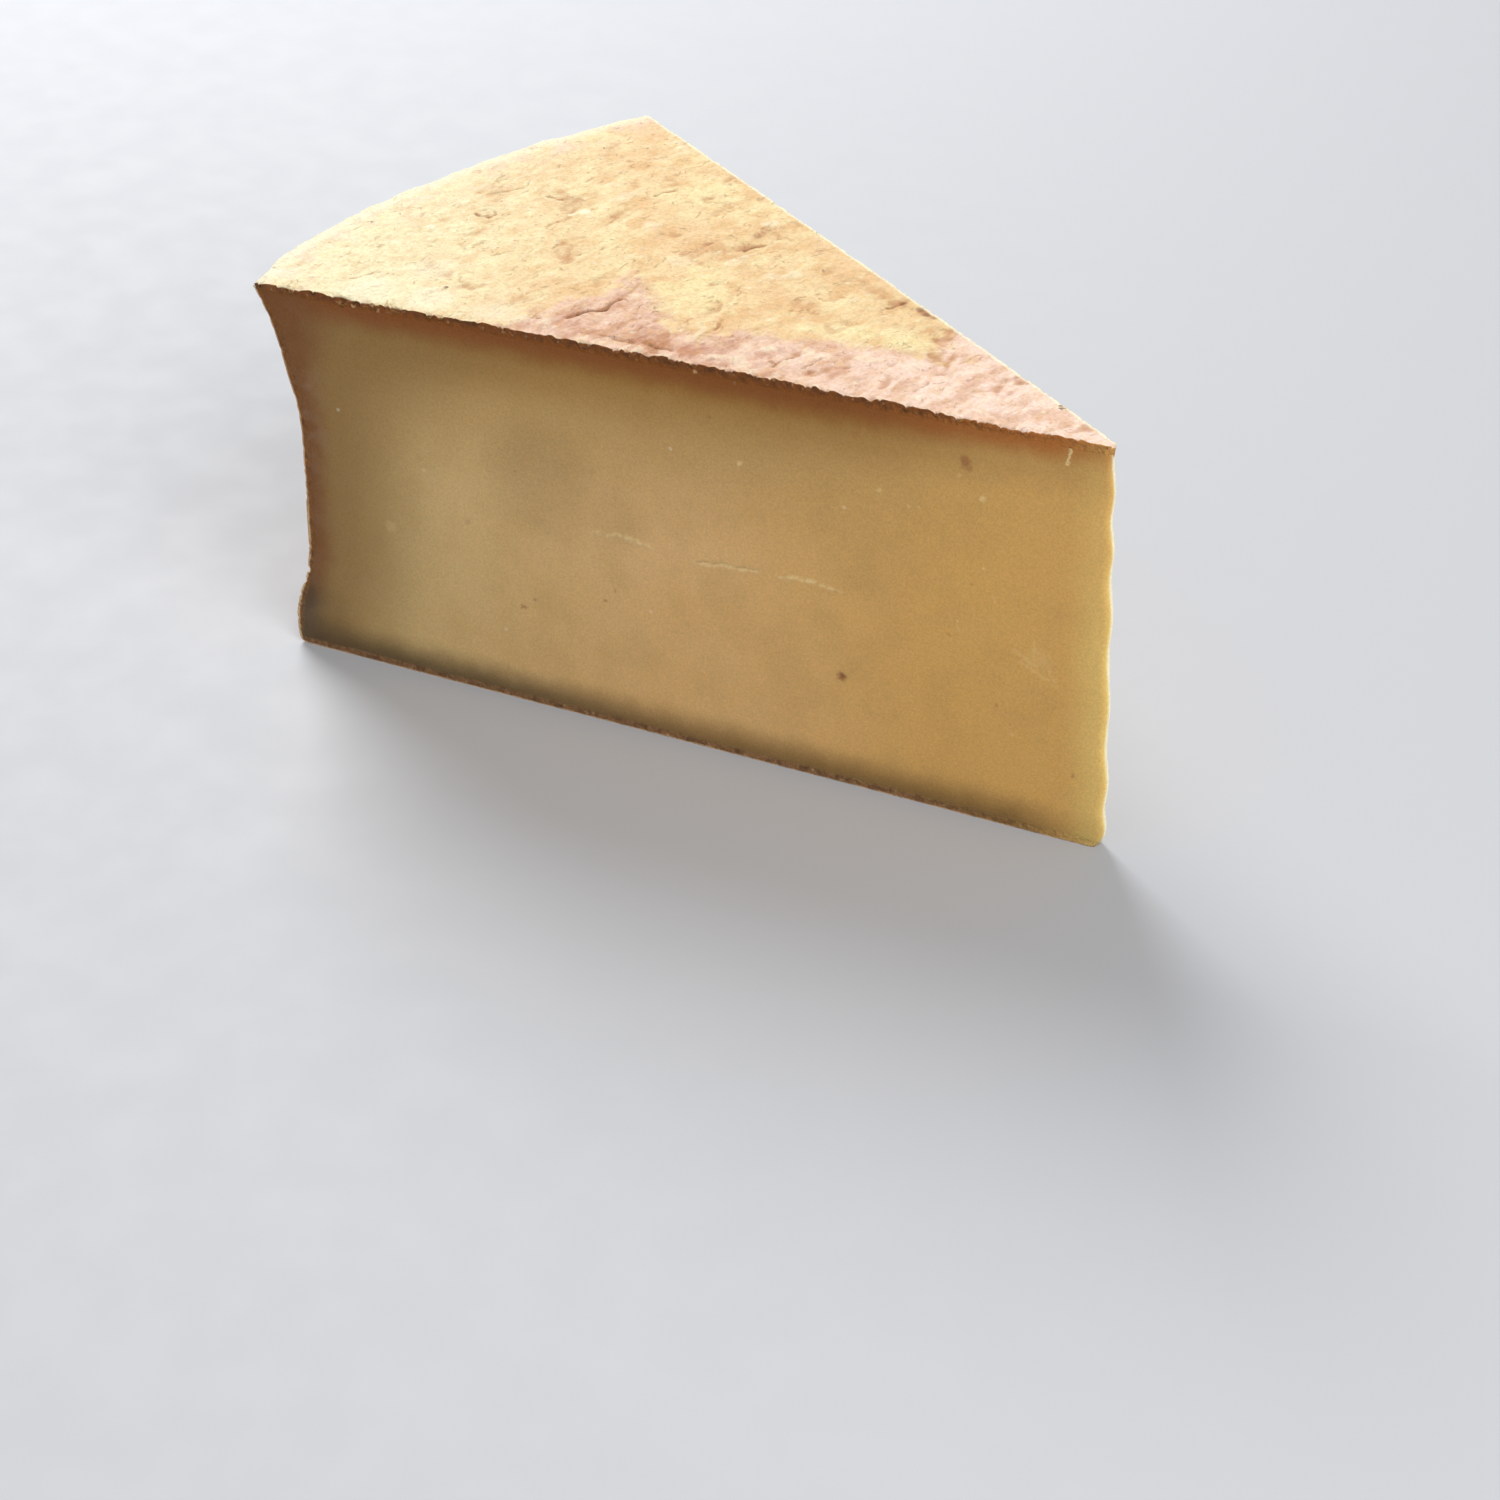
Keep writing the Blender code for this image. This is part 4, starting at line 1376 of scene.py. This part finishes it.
def noise(tree, place, scale, detail, roughness, distortion=0.0):
    """A soft noise from 0 to 1."""
    inputs = {"Vector": place, "Scale": scale, "Detail": detail, "Roughness": roughness}
    return add_node(tree, "ShaderNodeTexNoise", {**inputs, "Distortion": distortion}).outputs["Fac"]


def moved_place(tree, place, offset, stretch=(1.0, 1.0, 1.0)):
    """The place shifted, turned about Z and shrunk by the stretch, so that a pattern is drawn out by it."""
    inputs = {"Vector": place, "Location": offset, "Rotation": (0.0, 0.0, GRAIN_TURN), "Scale": stretch}
    return add_node(tree, "ShaderNodeMapping", inputs, vector_type="TEXTURE").outputs[0]


def plain_noise(tree, place, name):
    """The noise of a named row of the plain noises."""
    wavelength, detail, roughness, *move = NOISES[name]
    if move:
        place = moved_place(tree, place, *move)
    return noise(tree, place, 1.0 / wavelength, detail, roughness)


def swing(tree, value, reach):
    """A noise turned into a shift to both sides of 0: its half is taken off, and the rest multiplied."""
    return product(tree, math_of(tree, "SUBTRACT", value, 0.5), reach)


def shaken_place(tree, place, wavelength, reach):
    """The place pushed about by a noise, so that round spots become uneven."""
    shift = swing(tree, noise(tree, place, 1.0 / wavelength, SHAKE_DETAIL, 0.5), reach)
    push = add_node(tree, "ShaderNodeCombineXYZ", {0: shift, 1: shift, 2: shift}).outputs[0]
    return vector_math(tree, "ADD", place, push)


def parts_of(tree, label, count=4):
    """The first numbers of a point attribute."""
    node = add_node(tree, "ShaderNodeAttribute", attribute_name=label)
    split = add_node(tree, "ShaderNodeSeparateColor", {"Color": node.outputs["Color"]})
    return (*split.outputs, node.outputs["Alpha"])[:count]


def new_material(name):
    """An empty material with a Principled shader, and the object's own coordinates."""
    material = bpy.data.materials.new(name)
    material.use_nodes = True
    tree = material.node_tree
    place = add_node(tree, "ShaderNodeTexCoord").outputs["Object"]
    return material, tree, place


def finish_material(material, plain, changing):
    """Sets the shader's plain values, and links the ones that change over the surface."""
    tree = material.node_tree
    shader = tree.nodes["Principled BSDF"]
    for label, value in plain.items():
        shader.inputs[label].default_value = value
    for label, output in changing.items():
        tree.links.new(output, shader.inputs[label])
    return material


def bumped(tree, height, strength, distance):
    """The normal of a fine relief."""
    inputs = {"Height": height, "Strength": strength, "Distance": distance}
    return add_node(tree, "ShaderNodeBump", inputs).outputs[0]


# Node groups

def new_group(name, inputs, output, kind="NodeSocketFloat"):
    """A node group with one output. An input given no number is a vector. Its inner ends come with it."""
    group = bpy.data.node_groups.new(name, "ShaderNodeTree")
    for label, value in inputs.items():
        if value is None:
            group.interface.new_socket(label, in_out="INPUT", socket_type="NodeSocketVector")
        else:
            socket = group.interface.new_socket(label, in_out="INPUT", socket_type="NodeSocketFloat")
            socket.default_value = value
    group.interface.new_socket(output, in_out="OUTPUT", socket_type=kind)
    start = group.nodes.new("NodeGroupInput")
    end = group.nodes.new("NodeGroupOutput")
    return group, start.outputs, end.inputs[output]


def use_group(tree, group, *values):
    """The output of a group whose inputs are given in their order."""
    return add_node(tree, "ShaderNodeGroup", dict(enumerate(values)), node_tree=group).outputs[0]


def mottle_group():
    """Blotches: a noise sharpened between two levels, at a wavelength."""
    inputs = {"Vector": None, "Wavelength": 0.01, "Low": 0.4, "High": 0.6}
    group, given, end = new_group("mottle", inputs, "Mask")
    scale = math_of(group, "DIVIDE", 1.0, given["Wavelength"])
    pattern = noise(group, given["Vector"], scale, BLOTCH_DETAIL, BLOTCH_ROUGHNESS)
    group.links.new(fade(group, pattern, given["Low"], given["High"], 0.0, 1.0), end)
    return group


def speck_group():
    """Scattered specks: spots round the points of a cell pattern, in a random share of its cells."""
    inputs = {"Vector": None, "Wavelength": 0.01, "Size": 0.1, "Share": 0.5}
    group, given, end = new_group("specks", inputs, "Mask")
    scale = math_of(group, "DIVIDE", 1.0, given["Wavelength"])
    pattern = {"Vector": given["Vector"], "Scale": scale, "Randomness": 1.0}
    cells = add_node(group, "ShaderNodeTexVoronoi", pattern)
    core = product(group, given["Size"], SPECK_CORE)
    spot = fade(group, cells.outputs["Distance"], given["Size"], core, 0.0, 1.0)
    pick = add_node(group, "ShaderNodeSeparateColor", {"Color": cells.outputs["Color"]}).outputs[0]
    chosen = math_of(group, "LESS_THAN", pick, given["Share"])
    group.links.new(product(group, spot, chosen), end)
    return group


def stroke_group():
    """Short thin strokes that all run about the same way: the peaks of a noise that is drawn out."""
    inputs = {"Vector": None, "Wavelength": 0.002, "Share": 0.1}
    group, given, end = new_group("strokes", inputs, "Mask")
    scale = math_of(group, "DIVIDE", 1.0, given["Wavelength"])
    place = moved_place(group, given["Vector"], *STROKE_MOVE)
    pattern = noise(group, place, scale, BLOTCH_DETAIL, STROKE_ROUGHNESS, 1.0)
    low = math_of(group, "SUBTRACT", STROKE_LEVEL, given["Share"])
    high = math_of(group, "ADD", low, STROKE_SOFTNESS)
    group.links.new(fade(group, pattern, low, high, 0.0, 1.0), end)
    return group


def spot_group():
    """A soft round spot at a place: full in its inner third and gone at its radius."""
    inputs = {"Vector": None, "Centre": None, "Radius": 0.001, "Strength": 1.0}
    group, given, end = new_group("spot", inputs, "Mask")
    away = vector_math(group, "DISTANCE", given["Vector"], given["Centre"], "Value")
    share = math_of(group, "DIVIDE", away, given["Radius"])
    mask = fade(group, share, SPOT_CORE, 1.0, 1.0, 0.0)
    group.links.new(product(group, mask, given["Strength"]), end)
    return group


def line_group():
    """A soft line between two places: full in its inner third and gone at its half width."""
    inputs = {"Vector": None, "Start": None, "Along": None, "Half Width": 0.001, "Strength": 1.0}
    group, given, end = new_group("line", inputs, "Mask")
    along = given["Along"]
    offset = vector_math(group, "SUBTRACT", given["Vector"], given["Start"])
    reach = vector_math(group, "DOT_PRODUCT", offset, along, "Value")
    length = vector_math(group, "DOT_PRODUCT", along, along, "Value")
    part = math_of(group, "DIVIDE", reach, length, held=True)
    nearest = add_node(group, "ShaderNodeVectorMath", {"Vector": along, "Scale": part}, operation="SCALE")
    away = vector_math(group, "DISTANCE", offset, nearest.outputs["Vector"], "Value")
    share = math_of(group, "DIVIDE", away, given["Half Width"])
    mask = fade(group, share, SPOT_CORE, 1.0, 1.0, 0.0)
    group.links.new(product(group, mask, given["Strength"]), end)
    return group


MOTTLE = mottle_group()
SPECK = speck_group()
STROKE = stroke_group()
SPOT = spot_group()
LINE = line_group()


def blotches(tree, place, name):
    """The mask of a named row of the blotches."""
    wavelength, low, high, *move = BLOTCHES[name]
    if move:
        place = moved_place(tree, place, *move)
    return use_group(tree, MOTTLE, place, wavelength, low, high)


def specks(tree, place, name):
    """The mask of a named row of the specks."""
    spacing, size, share, *move = SPECKS[name]
    if move:
        place = moved_place(tree, place, *move)
    return use_group(tree, SPECK, place, spacing, size, share)


def paste_group():
    """The paste's colour from a place and its depths.

    It is dark under the rind and by the heel, as its own browning with painted shade, olive towards the heel,
    golden towards the nose, and pale on the nose with a painted glow of light shining through it.
    """
    inputs = {"Vector": None, "Under": 0.05, "Heel": 0.05, "Foot": 0.05, "Nose": 0.05}
    group, given, end = new_group("paste_look", inputs, "Color", "NodeSocketColor")
    place, nose = given["Vector"], given["Nose"]
    waver = swing(group, plain_noise(group, place, "paste waver"), PASTE_WAVER)
    under, heel, foot = (math_of(group, "ADD", given[label], waver) for label in ("Under", "Heel", "Foot"))
    heel = product(group, heel, ramp(group, foot, "heel narrows above foot"))
    base = blend(group, ramp(group, nose, "gold by nose"), PASTE_WARM, PASTE_GOLD)
    base = tint(group, base, PASTE_GOLD, blotches(group, place, "paste cloud"), STRENGTHS["paste cloud"])
    base = tint(group, base, PASTE_OLIVE, ramp(group, heel, "olive by heel"))
    dullness = blotches(group, place, "paste dullness")
    base = tint(group, base, PASTE_SHADE, dullness, STRENGTHS["paste dullness"])
    under = product(group, under, ramp(group, nose, "thinner by nose"))
    deepest = blend(group, ramp(group, nose, "ember by nose"), PASTE_DARK, PASTE_EMBER)
    over_foot = ramp(group, foot, "blush above foot")
    bloom = product(group, over_foot, ramp(group, under, "blush below top"))
    rust = tint(group, PASTE_RUST, PASTE_BLUSH, blotches(group, place, "paste blush"), bloom)
    rust = tint(group, rust, PASTE_CORNER, ramp(group, foot, "corner by foot"))
    low = blend(group, ramp(group, heel, "darker foot by heel"), PASTE_FOOT, PASTE_FOOT_DARK)
    # The darkening under the top rind and by the heel is the paste's own browning with painted shade, weaker
    # near the nose
    layers = (
        (PASTE_SHADE, (under, "shade under top"), (nose, "shade off nose")),
        (PASTE_EDGE, (under, "edge under top"), (nose, "edge off nose")),
        (PASTE_BACK, (heel, "brown and shade by heel")),
        # Painted glow of light shining through the thin nose
        (PASTE_NOSE_GLOW, (nose, "glow by nose"), (under, "glow away from top")),
        (deepest, (under, "dark under top"), (nose, "dark off nose")),
        (rust, (heel, "rust by heel")),
        (low, (foot, "dark by foot"), (nose, "foot off nose")),
    )
    for colour, *fades in layers:
        base = tint(group, base, colour, *(ramp(group, value, name) for value, name in fades))
    group.links.new(base, end)
    return group


PASTE_LOOK = paste_group()


# Marks on the top and the front cut

def front_place(distance, height):
    """The place on the front cut at a distance from the wheel's axis and a height."""
    return WHEEL_AXIS + FRONT_ALONG * distance + (0.0, 0.0, height)


def top_place(x, y):
    """The place on the top at a level place from the wheel's axis."""
    return WHEEL_AXIS + (x, y, float(top_height(math.hypot(x, y))))


def strongest_of(tree, group, marks):
    """The strongest of some marks, each given by the inputs of a group.

    Each is joined to the ones before it at once, because a shader can hold only so many numbers.
    """
    strongest = 0.0
    for mark in marks:
        strongest = math_of(tree, "MAXIMUM", use_group(tree, group, *mark), strongest)
    return strongest


def spots_at(tree, place, place_of, spots):
    """The strongest of some spots, each with its place in two numbers, its radius and its strength."""
    return strongest_of(tree, SPOT, [(place, place_of(*spot[:2]), *spot[2:]) for spot in spots])


def lines_between(tree, place, stretches):
    """The strongest of some lines, each with its two ends, half width and strength."""
    marks = [(place, start, np.subtract(end, start), *rest) for start, end, *rest in stretches]
    return strongest_of(tree, LINE, marks)


def crack_lines(tree):
    """The dark lines along the cracks of the top rind, brown with painted shade,
    darker where the crack is deeper.
    """
    place = add_node(tree, "ShaderNodeAttribute", attribute_name="crack_place").outputs["Vector"]
    level = WHEEL_AXIS * (1.0, 1.0, 0.0)
    stretches = []
    for start, end, half_width, depth in TOP_CRACKS:
        strength = min(1.0, depth / CRACK_LINE_FULL)
        ends = (level + (*start, 0.0), level + (*end, 0.0))
        stretches.append((*ends, CRACK_LINE_SHARE * half_width, strength))
    lines = lines_between(tree, shaken_place(tree, place, *CRACK_SHAKE), stretches)
    return product(tree, lines, ramp(tree, plain_noise(tree, place, "crack breaks"), "crack breaks"))


def scratch_lines(tree, place):
    """The pale scratches of the front cut."""
    stretches = [(front_place(*start), front_place(*end), *rest) for start, end, *rest in SCRATCHES]
    return lines_between(tree, place, stretches)


def back_edge_highlight(tree, place):
    """A painted highlight: a thin pale line along the back cut's upper edge, where the light catches it."""
    edge = float(WHEEL_AXIS @ BACK_NORMAL)
    start, end = BACK_LINE
    towards_back = vector_math(tree, "DOT_PRODUCT", place, tuple(BACK_NORMAL), "Value")
    return fade(tree, towards_back, edge - start, edge - end, 0.0, BACK_LINE_STRENGTH)


# Materials

def pink_colour(tree, place, nose, small):
    """The pink side of the top: redder blotches away from the nose, and paler between the small ones."""
    redness = product(tree, blotches(tree, place, "top red"), ramp(tree, nose, "red off nose"))
    rosy = blend(tree, redness, PINK, TERRACOTTA)
    between = ramp(tree, small, "pale pink between blotches")
    return tint(tree, rosy, PALE_PINK, between, ramp(tree, nose, "pale pink by nose"))


def uneven_patch(tree, share, waver, name):
    """A patch with an uneven edge: a noise is added to its share, and the sum goes through a named ramp."""
    shift = product(tree, waver, ramp(tree, share, "waver inside patch"))
    return ramp(tree, math_of(tree, "ADD", share, shift), name)


def rind_top_colour(tree, place, patches, heel, nose, strokes):
    """The top rind: cream to peach blotches, a pink side, butter and tan patches, dirt and painted shade in
    the hollows, painted highlights on the crests, the rim and the back edge, and painted light towards one
    side.
    """
    pink, butter, tan, hollow = patches
    slant = vector_math(tree, "DOT_PRODUCT", place, LIGHT_SLANT, "Value")
    small = blotches(tree, place, "top small")
    base = blend(tree, blotches(tree, place, "top broad"), SAND, PEACH)
    base = tint(tree, base, APRICOT, small, STRENGTHS["top small"])
    # Painted light: creamier towards the side where the light falls strongest, more apricot away from it
    base = tint(tree, base, LIT_CREAM, ramp(tree, slant, "painted light by slant"))
    base = tint(tree, base, APRICOT, small, ramp(tree, slant, "apricot where less lit"))
    wavers = [swing(tree, plain_noise(tree, place, name), reach) for name, reach in PATCH_WAVERS.items()]
    waver = math_of(tree, "ADD", *wavers)
    pink_patch = uneven_patch(tree, pink, waver, "pink patch")
    base = tint(tree, base, pink_colour(tree, place, nose, small), pink_patch)
    base = tint(tree, base, BUTTER, uneven_patch(tree, butter, waver, "butter patch"))
    rough = ramp(tree, blotches(tree, place, "top tan"), "tan blotches")
    browner = blend(tree, pink_patch, TAN, TERRACOTTA)
    base = tint(tree, base, browner, ramp(tree, tan, "tan patch"), rough)
    base = tint(tree, base, APRICOT, blotches(tree, place, "top tiny"), STRENGTHS["top tiny"])
    # Painted shade in the strokes and hollows, with some dirt, and a painted highlight on the crests
    base = tint(tree, base, CREASE_SHADE_BROWN, strokes, STRENGTHS["strokes"])
    base = tint(tree, base, CREASE_SHADE_BROWN, ramp(tree, hollow, "shade in hollow"))
    base = tint(tree, base, UMBER, ramp(tree, hollow, "dirt and shade in hollow"))
    base = tint(tree, base, PALE_BLOOM_AND_HIGHLIGHT, ramp(tree, hollow, "highlight on crest"))
    base = tint(tree, base, PALE_PINK, ramp(tree, heel, "pink by rim"), small)
    # Painted highlight along the rounded rim, where the light catches it
    base = tint(tree, base, PALE_BLOOM_AND_HIGHLIGHT, ramp(tree, heel, "highlight by rim"))
    # Brown and painted shade along the cracks
    base = tint(tree, base, CRACK_SHADE_BROWN, crack_lines(tree), CRACK_LINE_STRENGTH)
    # Painted highlight along the back cut's edge
    base = tint(tree, base, PALE_BLOOM_AND_HIGHLIGHT, back_edge_highlight(tree, place))
    uneven = shaken_place(tree, place, *TOP_SHAKE)
    base = tint(tree, base, PALE_BLOOM_AND_HIGHLIGHT, spots_at(tree, uneven, top_place, TOP_PALE_SPOTS))
    return tint(tree, base, UMBER, spots_at(tree, uneven, top_place, TOP_SPECKS))


def heel_cracks(tree, place, foot):
    """The net of cracks low on the heel: the borders of a cell pattern, broken here and there."""
    shaken = moved_place(tree, shaken_place(tree, place, *NET_SHAKE), NET_OFFSET)
    inputs = {"Vector": shaken, "Scale": 1.0 / NET_SPACING}
    cells = add_node(tree, "ShaderNodeTexVoronoi", inputs, feature="DISTANCE_TO_EDGE")
    crack = ramp(tree, cells.outputs["Distance"], "net lines")
    crack = product(tree, crack, ramp(tree, foot, "net low down"), ramp(tree, foot, "net above foot"))
    return product(tree, crack, ramp(tree, plain_noise(tree, place, "net breaks"), "net breaks"))


def rind_heel_colour(tree, place, hollow, under, foot, cracks):
    """The heel: beige with brown and grey blotches, faint level bands, dirt in the cracks, dirt and painted
    shade in its hollows, and a pale rim that is a painted highlight.
    """
    base = blend(tree, blotches(tree, place, "heel broad"), HEEL_BEIGE, HEEL_TAN)
    base = tint(tree, base, HEEL_GREY, blotches(tree, place, "heel small"), STRENGTHS["heel small"])
    base = tint(tree, base, HEEL_TAN, blotches(tree, place, "heel bands"), STRENGTHS["heel bands"])
    # Dirt and painted shade in the heel's hollows
    base = tint(tree, base, HEEL_BROWN, ramp(tree, hollow, "dirt and shade in heel's hollow"))
    base = tint(tree, base, HEEL_BROWN, cracks, STRENGTHS["heel net"])
    base = tint(tree, base, HEEL_BROWN, blotches(tree, place, "heel dirt"), ramp(tree, foot, "dirt by foot"))
    # Painted highlight along the rim
    return tint(tree, base, PALE_BLOOM_AND_HIGHLIGHT, ramp(tree, under, "highlight under rim"))


def skin_colour(tree, place, heel, foot):
    """The skin at the rind's cut edge: brown, tan at the heel and pinkish at the foot, with pale crumbs."""
    skin = blend(tree, ramp(tree, heel, "tan skin by heel"), SKIN_DARK, SKIN_TAN)
    skin = tint(tree, skin, SKIN_PINK, ramp(tree, foot, "pink skin by foot"))
    skin = tint(tree, skin, SKIN_UMBER, blotches(tree, place, "skin dark"), STRENGTHS["skin dark"])
    crumbs = product(tree, blotches(tree, place, "skin crumbs"), STRENGTHS["skin crumbs"])
    bits = product(tree, specks(tree, place, "skin bits"), STRENGTHS["skin bits"])
    return tint(tree, skin, SKIN_PALE, math_of(tree, "MAXIMUM", crumbs, bits))


def rind_section_colour(tree, place, depths, nearest):
    """The rind's cut edge: the paste's own colour inside, and the skin outside, with a torn line between."""
    _, heel, foot, nose = depths
    torn = blotches(tree, place, "skin tears")
    outside = math_of(tree, "ADD", nearest, product(tree, torn, SKIN_TEAR))
    at_foot = math_of(tree, "ADD", foot, product(tree, torn, FOOT_SKIN_TEAR))
    amount = math_of(tree, "MAXIMUM", ramp(tree, outside, "skin"), ramp(tree, at_foot, "skin by foot"))
    base = use_group(tree, PASTE_LOOK, place, *depths)
    base = tint(tree, base, skin_colour(tree, place, heel, foot), amount, ramp(tree, nose, "skin off nose"))
    # Painted highlight: a pale line along the heel's edge of the cut, where the light catches it
    rim = product(tree, ramp(tree, heel, "rim highlight"), ramp(tree, foot, "rim highlight low down"))
    base = tint(tree, base, SKIN_RIM_HIGHLIGHT, rim, ramp(tree, torn, "rim highlight breaks"))
    uneven = shaken_place(tree, place, *EDGE_SHAKE)
    base = tint(tree, base, SKIN_UMBER, spots_at(tree, uneven, front_place, EDGE_BREAKS))
    return tint(tree, base, SKIN_PALE, spots_at(tree, uneven, front_place, EDGE_CRUMBS))


def rind_material():
    """Rind: coloured by where it is on the wheel, with dirt and painted shade in its hollows
    and a fine dry grain.
    """
    material, tree, place = new_material("rind")
    patches = parts_of(tree, "patches")
    side, underside, lip, torn_open = parts_of(tree, "layout")
    depths = parts_of(tree, "depths")
    under, heel, foot, nose = depths
    strokes = use_group(tree, STROKE, place, STROKE_WAVELENGTH, STROKE_SHARE)
    base = rind_top_colour(tree, place, patches, heel, nose, strokes)
    cracks = product(tree, heel_cracks(tree, place, foot), side)
    base = tint(tree, base, rind_heel_colour(tree, place, patches[3], under, foot, cracks), side)
    base = tint(tree, base, UNDERSIDE, underside)
    flecks = specks(tree, shaken_place(tree, place, *FLECK_SHAKE), "rind flecks")
    base = tint(tree, base, PALE_BLOOM_AND_HIGHLIGHT, flecks, STRENGTHS["rind flecks"])
    base = tint(tree, base, UMBER, specks(tree, place, "rind dots"), STRENGTHS["rind dots"])
    # Pale crumbs and painted highlights along the top's front edge
    base = tint(tree, base, LIT_CREAM, blotches(tree, place, "lip crumbs and highlights"), lip, STRENGTHS["lip crumbs and highlights"])
    nearest = math_of(tree, "MINIMUM", under, heel, foot)
    inside = math_of(
        tree,
        "MAXIMUM",
        ramp(tree, nearest, "inside below skin"),
        ramp(tree, lip, "inside past lip"),
        ramp(tree, torn_open, "inside where torn"),
    )
    base = tint(tree, base, rind_section_colour(tree, place, depths, nearest), inside)
    grain = plain_noise(tree, place, "rind grain")
    crumb = plain_noise(tree, place, "rind crumb")
    raised = math_of(tree, "ADD", product(tree, grain, GRAIN_RISE), product(tree, crumb, CRUMB_RISE))
    sunk = (product(tree, strokes, STROKE_SINK), product(tree, cracks, NET_SINK))
    height = math_of(tree, "SUBTRACT", raised, *sunk)
    changing = {
        "Base Color": grained(tree, base, grain, "rind grain"),
        "Roughness": ramp(tree, grain, "rind roughness"),
        "Normal": bumped(tree, height, *RIND_BUMP),
    }
    return finish_material(material, RIND_FINISH, changing)


def paste_material():
    """Paste: smooth and slightly clear, with a fine grain, crystals, smudges, slits and eyes."""
    material, tree, place = new_material("paste")
    under, heel, foot, nose = parts_of(tree, "depths")
    opening, lip, turned = parts_of(tree, "marks", 3)
    near = shaken_place(tree, place, *FRONT_SHAKE)
    base = use_group(tree, PASTE_LOOK, place, under, heel, foot, nose)
    base = tint(tree, base, SMUDGE_DARK, spots_at(tree, near, front_place, SMUDGES))
    # Painted highlight: a near-white line on the nose's back half, where the light from behind catches it
    highlight_side = ramp(tree, turned, "highlight side of nose")
    base = tint(tree, base, PASTE_WHITE_AND_HIGHLIGHT, highlight_side, ramp(tree, nose, "highlight by nose"))
    flecks = specks(tree, place, "paste flecks")
    base = tint(tree, base, PASTE_WHITE_AND_HIGHLIGHT, flecks, ramp(tree, under, "flecks below top"))
    base = tint(tree, base, EYE_BROWN, specks(tree, place, "paste dots"), STRENGTHS["paste dots"])
    crystals = spots_at(tree, near, front_place, CRYSTALS)
    base = tint(tree, base, CRYSTAL_PALE, crystals, STRENGTHS["crystals"])
    eyes = spots_at(tree, near, front_place, EYES)
    base = tint(tree, base, EYE_BROWN, eyes, STRENGTHS["eyes"])
    base = tint(tree, base, CRYSTAL_PALE, scratch_lines(tree, near), STRENGTHS["scratches"])
    base = tint(tree, base, CRYSTAL_PALE, lip, STRENGTHS["slit lip"])
    # Painted shade in the slits' openings
    base = tint(tree, base, SLIT_SHADE, opening, STRENGTHS["slit"])
    grain = plain_noise(tree, place, "paste grain")
    changing = {
        "Base Color": grained(tree, base, grain, "paste grain"),
        "Roughness": ramp(tree, plain_noise(tree, place, "paste smears"), "paste roughness"),
        "Normal": bumped(tree, grain, *PASTE_BUMP),
    }
    return finish_material(material, PASTE_FINISH, changing)


# The stage

def floor_material():
    """A plain pale matt floor."""
    material, tree, place = new_material("floor")
    roughness = ramp(tree, plain_noise(tree, place, "floor"), "floor roughness")
    return finish_material(material, {"Base Color": linear(FLOOR_COLOUR)}, {"Roughness": roughness})


def build_floor():
    """A level square under the wedge."""
    mesh = bpy.data.meshes.new("floor")
    near, far = -FLOOR_HALF, FLOOR_HALF
    corners = ((near, near), (far, near), (far, far), (near, far))
    mesh.from_pydata([(x, y, 0.0) for x, y in corners], [], [(0, 1, 2, 3)])
    mesh.materials.append(floor_material())
    add_object("floor", mesh)


def build_lights():
    """Two soft boxes and an even grey surround. A turn of 0 is straight behind the wedge as seen."""
    target = Vector((0.0, 0.0, WHEEL_HEIGHT / 2.0))
    for name, (turn, rise, distance, size, power) in SOFT_BOXES.items():
        heading = CAMERA_YAW + math.radians(turn)
        flat = math.cos(math.radians(rise))
        away = Vector((math.sin(heading) * flat, math.cos(heading) * flat, math.sin(math.radians(rise))))
        light = bpy.data.lights.new(name, "AREA")
        light.shape = "DISK"
        light.size = size
        light.energy = power
        lamp = add_object(name, light)
        lamp.location = target + away * distance
        lamp.rotation_euler = away.to_track_quat("Z", "Y").to_euler()
    world = bpy.data.worlds.new("surround")
    world.use_nodes = True
    background = world.node_tree.nodes["Background"]
    background.inputs["Color"].default_value = (WORLD_GREY, WORLD_GREY, WORLD_GREY, 1.0)
    background.inputs["Strength"].default_value = 1.0
    bpy.context.scene.world = world


def build_camera():
    """The photograph's camera: a heading, a downward pitch, and a small roll about its line of sight."""
    heading = Vector((math.sin(CAMERA_YAW), math.cos(CAMERA_YAW), 0.0))
    level = Vector((math.cos(CAMERA_YAW), -math.sin(CAMERA_YAW), 0.0))
    up = Vector((0.0, 0.0, 1.0))
    forward = heading * math.cos(CAMERA_PITCH) - up * math.sin(CAMERA_PITCH)
    above = up * math.cos(CAMERA_PITCH) + heading * math.sin(CAMERA_PITCH)
    right = level * math.cos(CAMERA_ROLL) + above * math.sin(CAMERA_ROLL)
    top = above * math.cos(CAMERA_ROLL) - level * math.sin(CAMERA_ROLL)
    view = bpy.data.cameras.new("camera")
    view.lens = CAMERA_LENS
    view.sensor_fit = "HORIZONTAL"
    view.sensor_width = CAMERA_SENSOR
    camera = add_object("camera", view)
    turn = Matrix((right, top, -forward)).transposed().to_4x4()
    camera.matrix_world = Matrix.Translation(CAMERA_PLACE) @ turn
    bpy.context.scene.camera = camera


bpy.context.scene.view_settings.view_transform = "Standard"
rind = build_rind()
paste = build_paste()
for piece, slot in ((rind, "rind"), (paste, "paste")):
    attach(piece, "root")
    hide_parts("cheese_wedge")
build_floor()
build_lights()
build_camera()
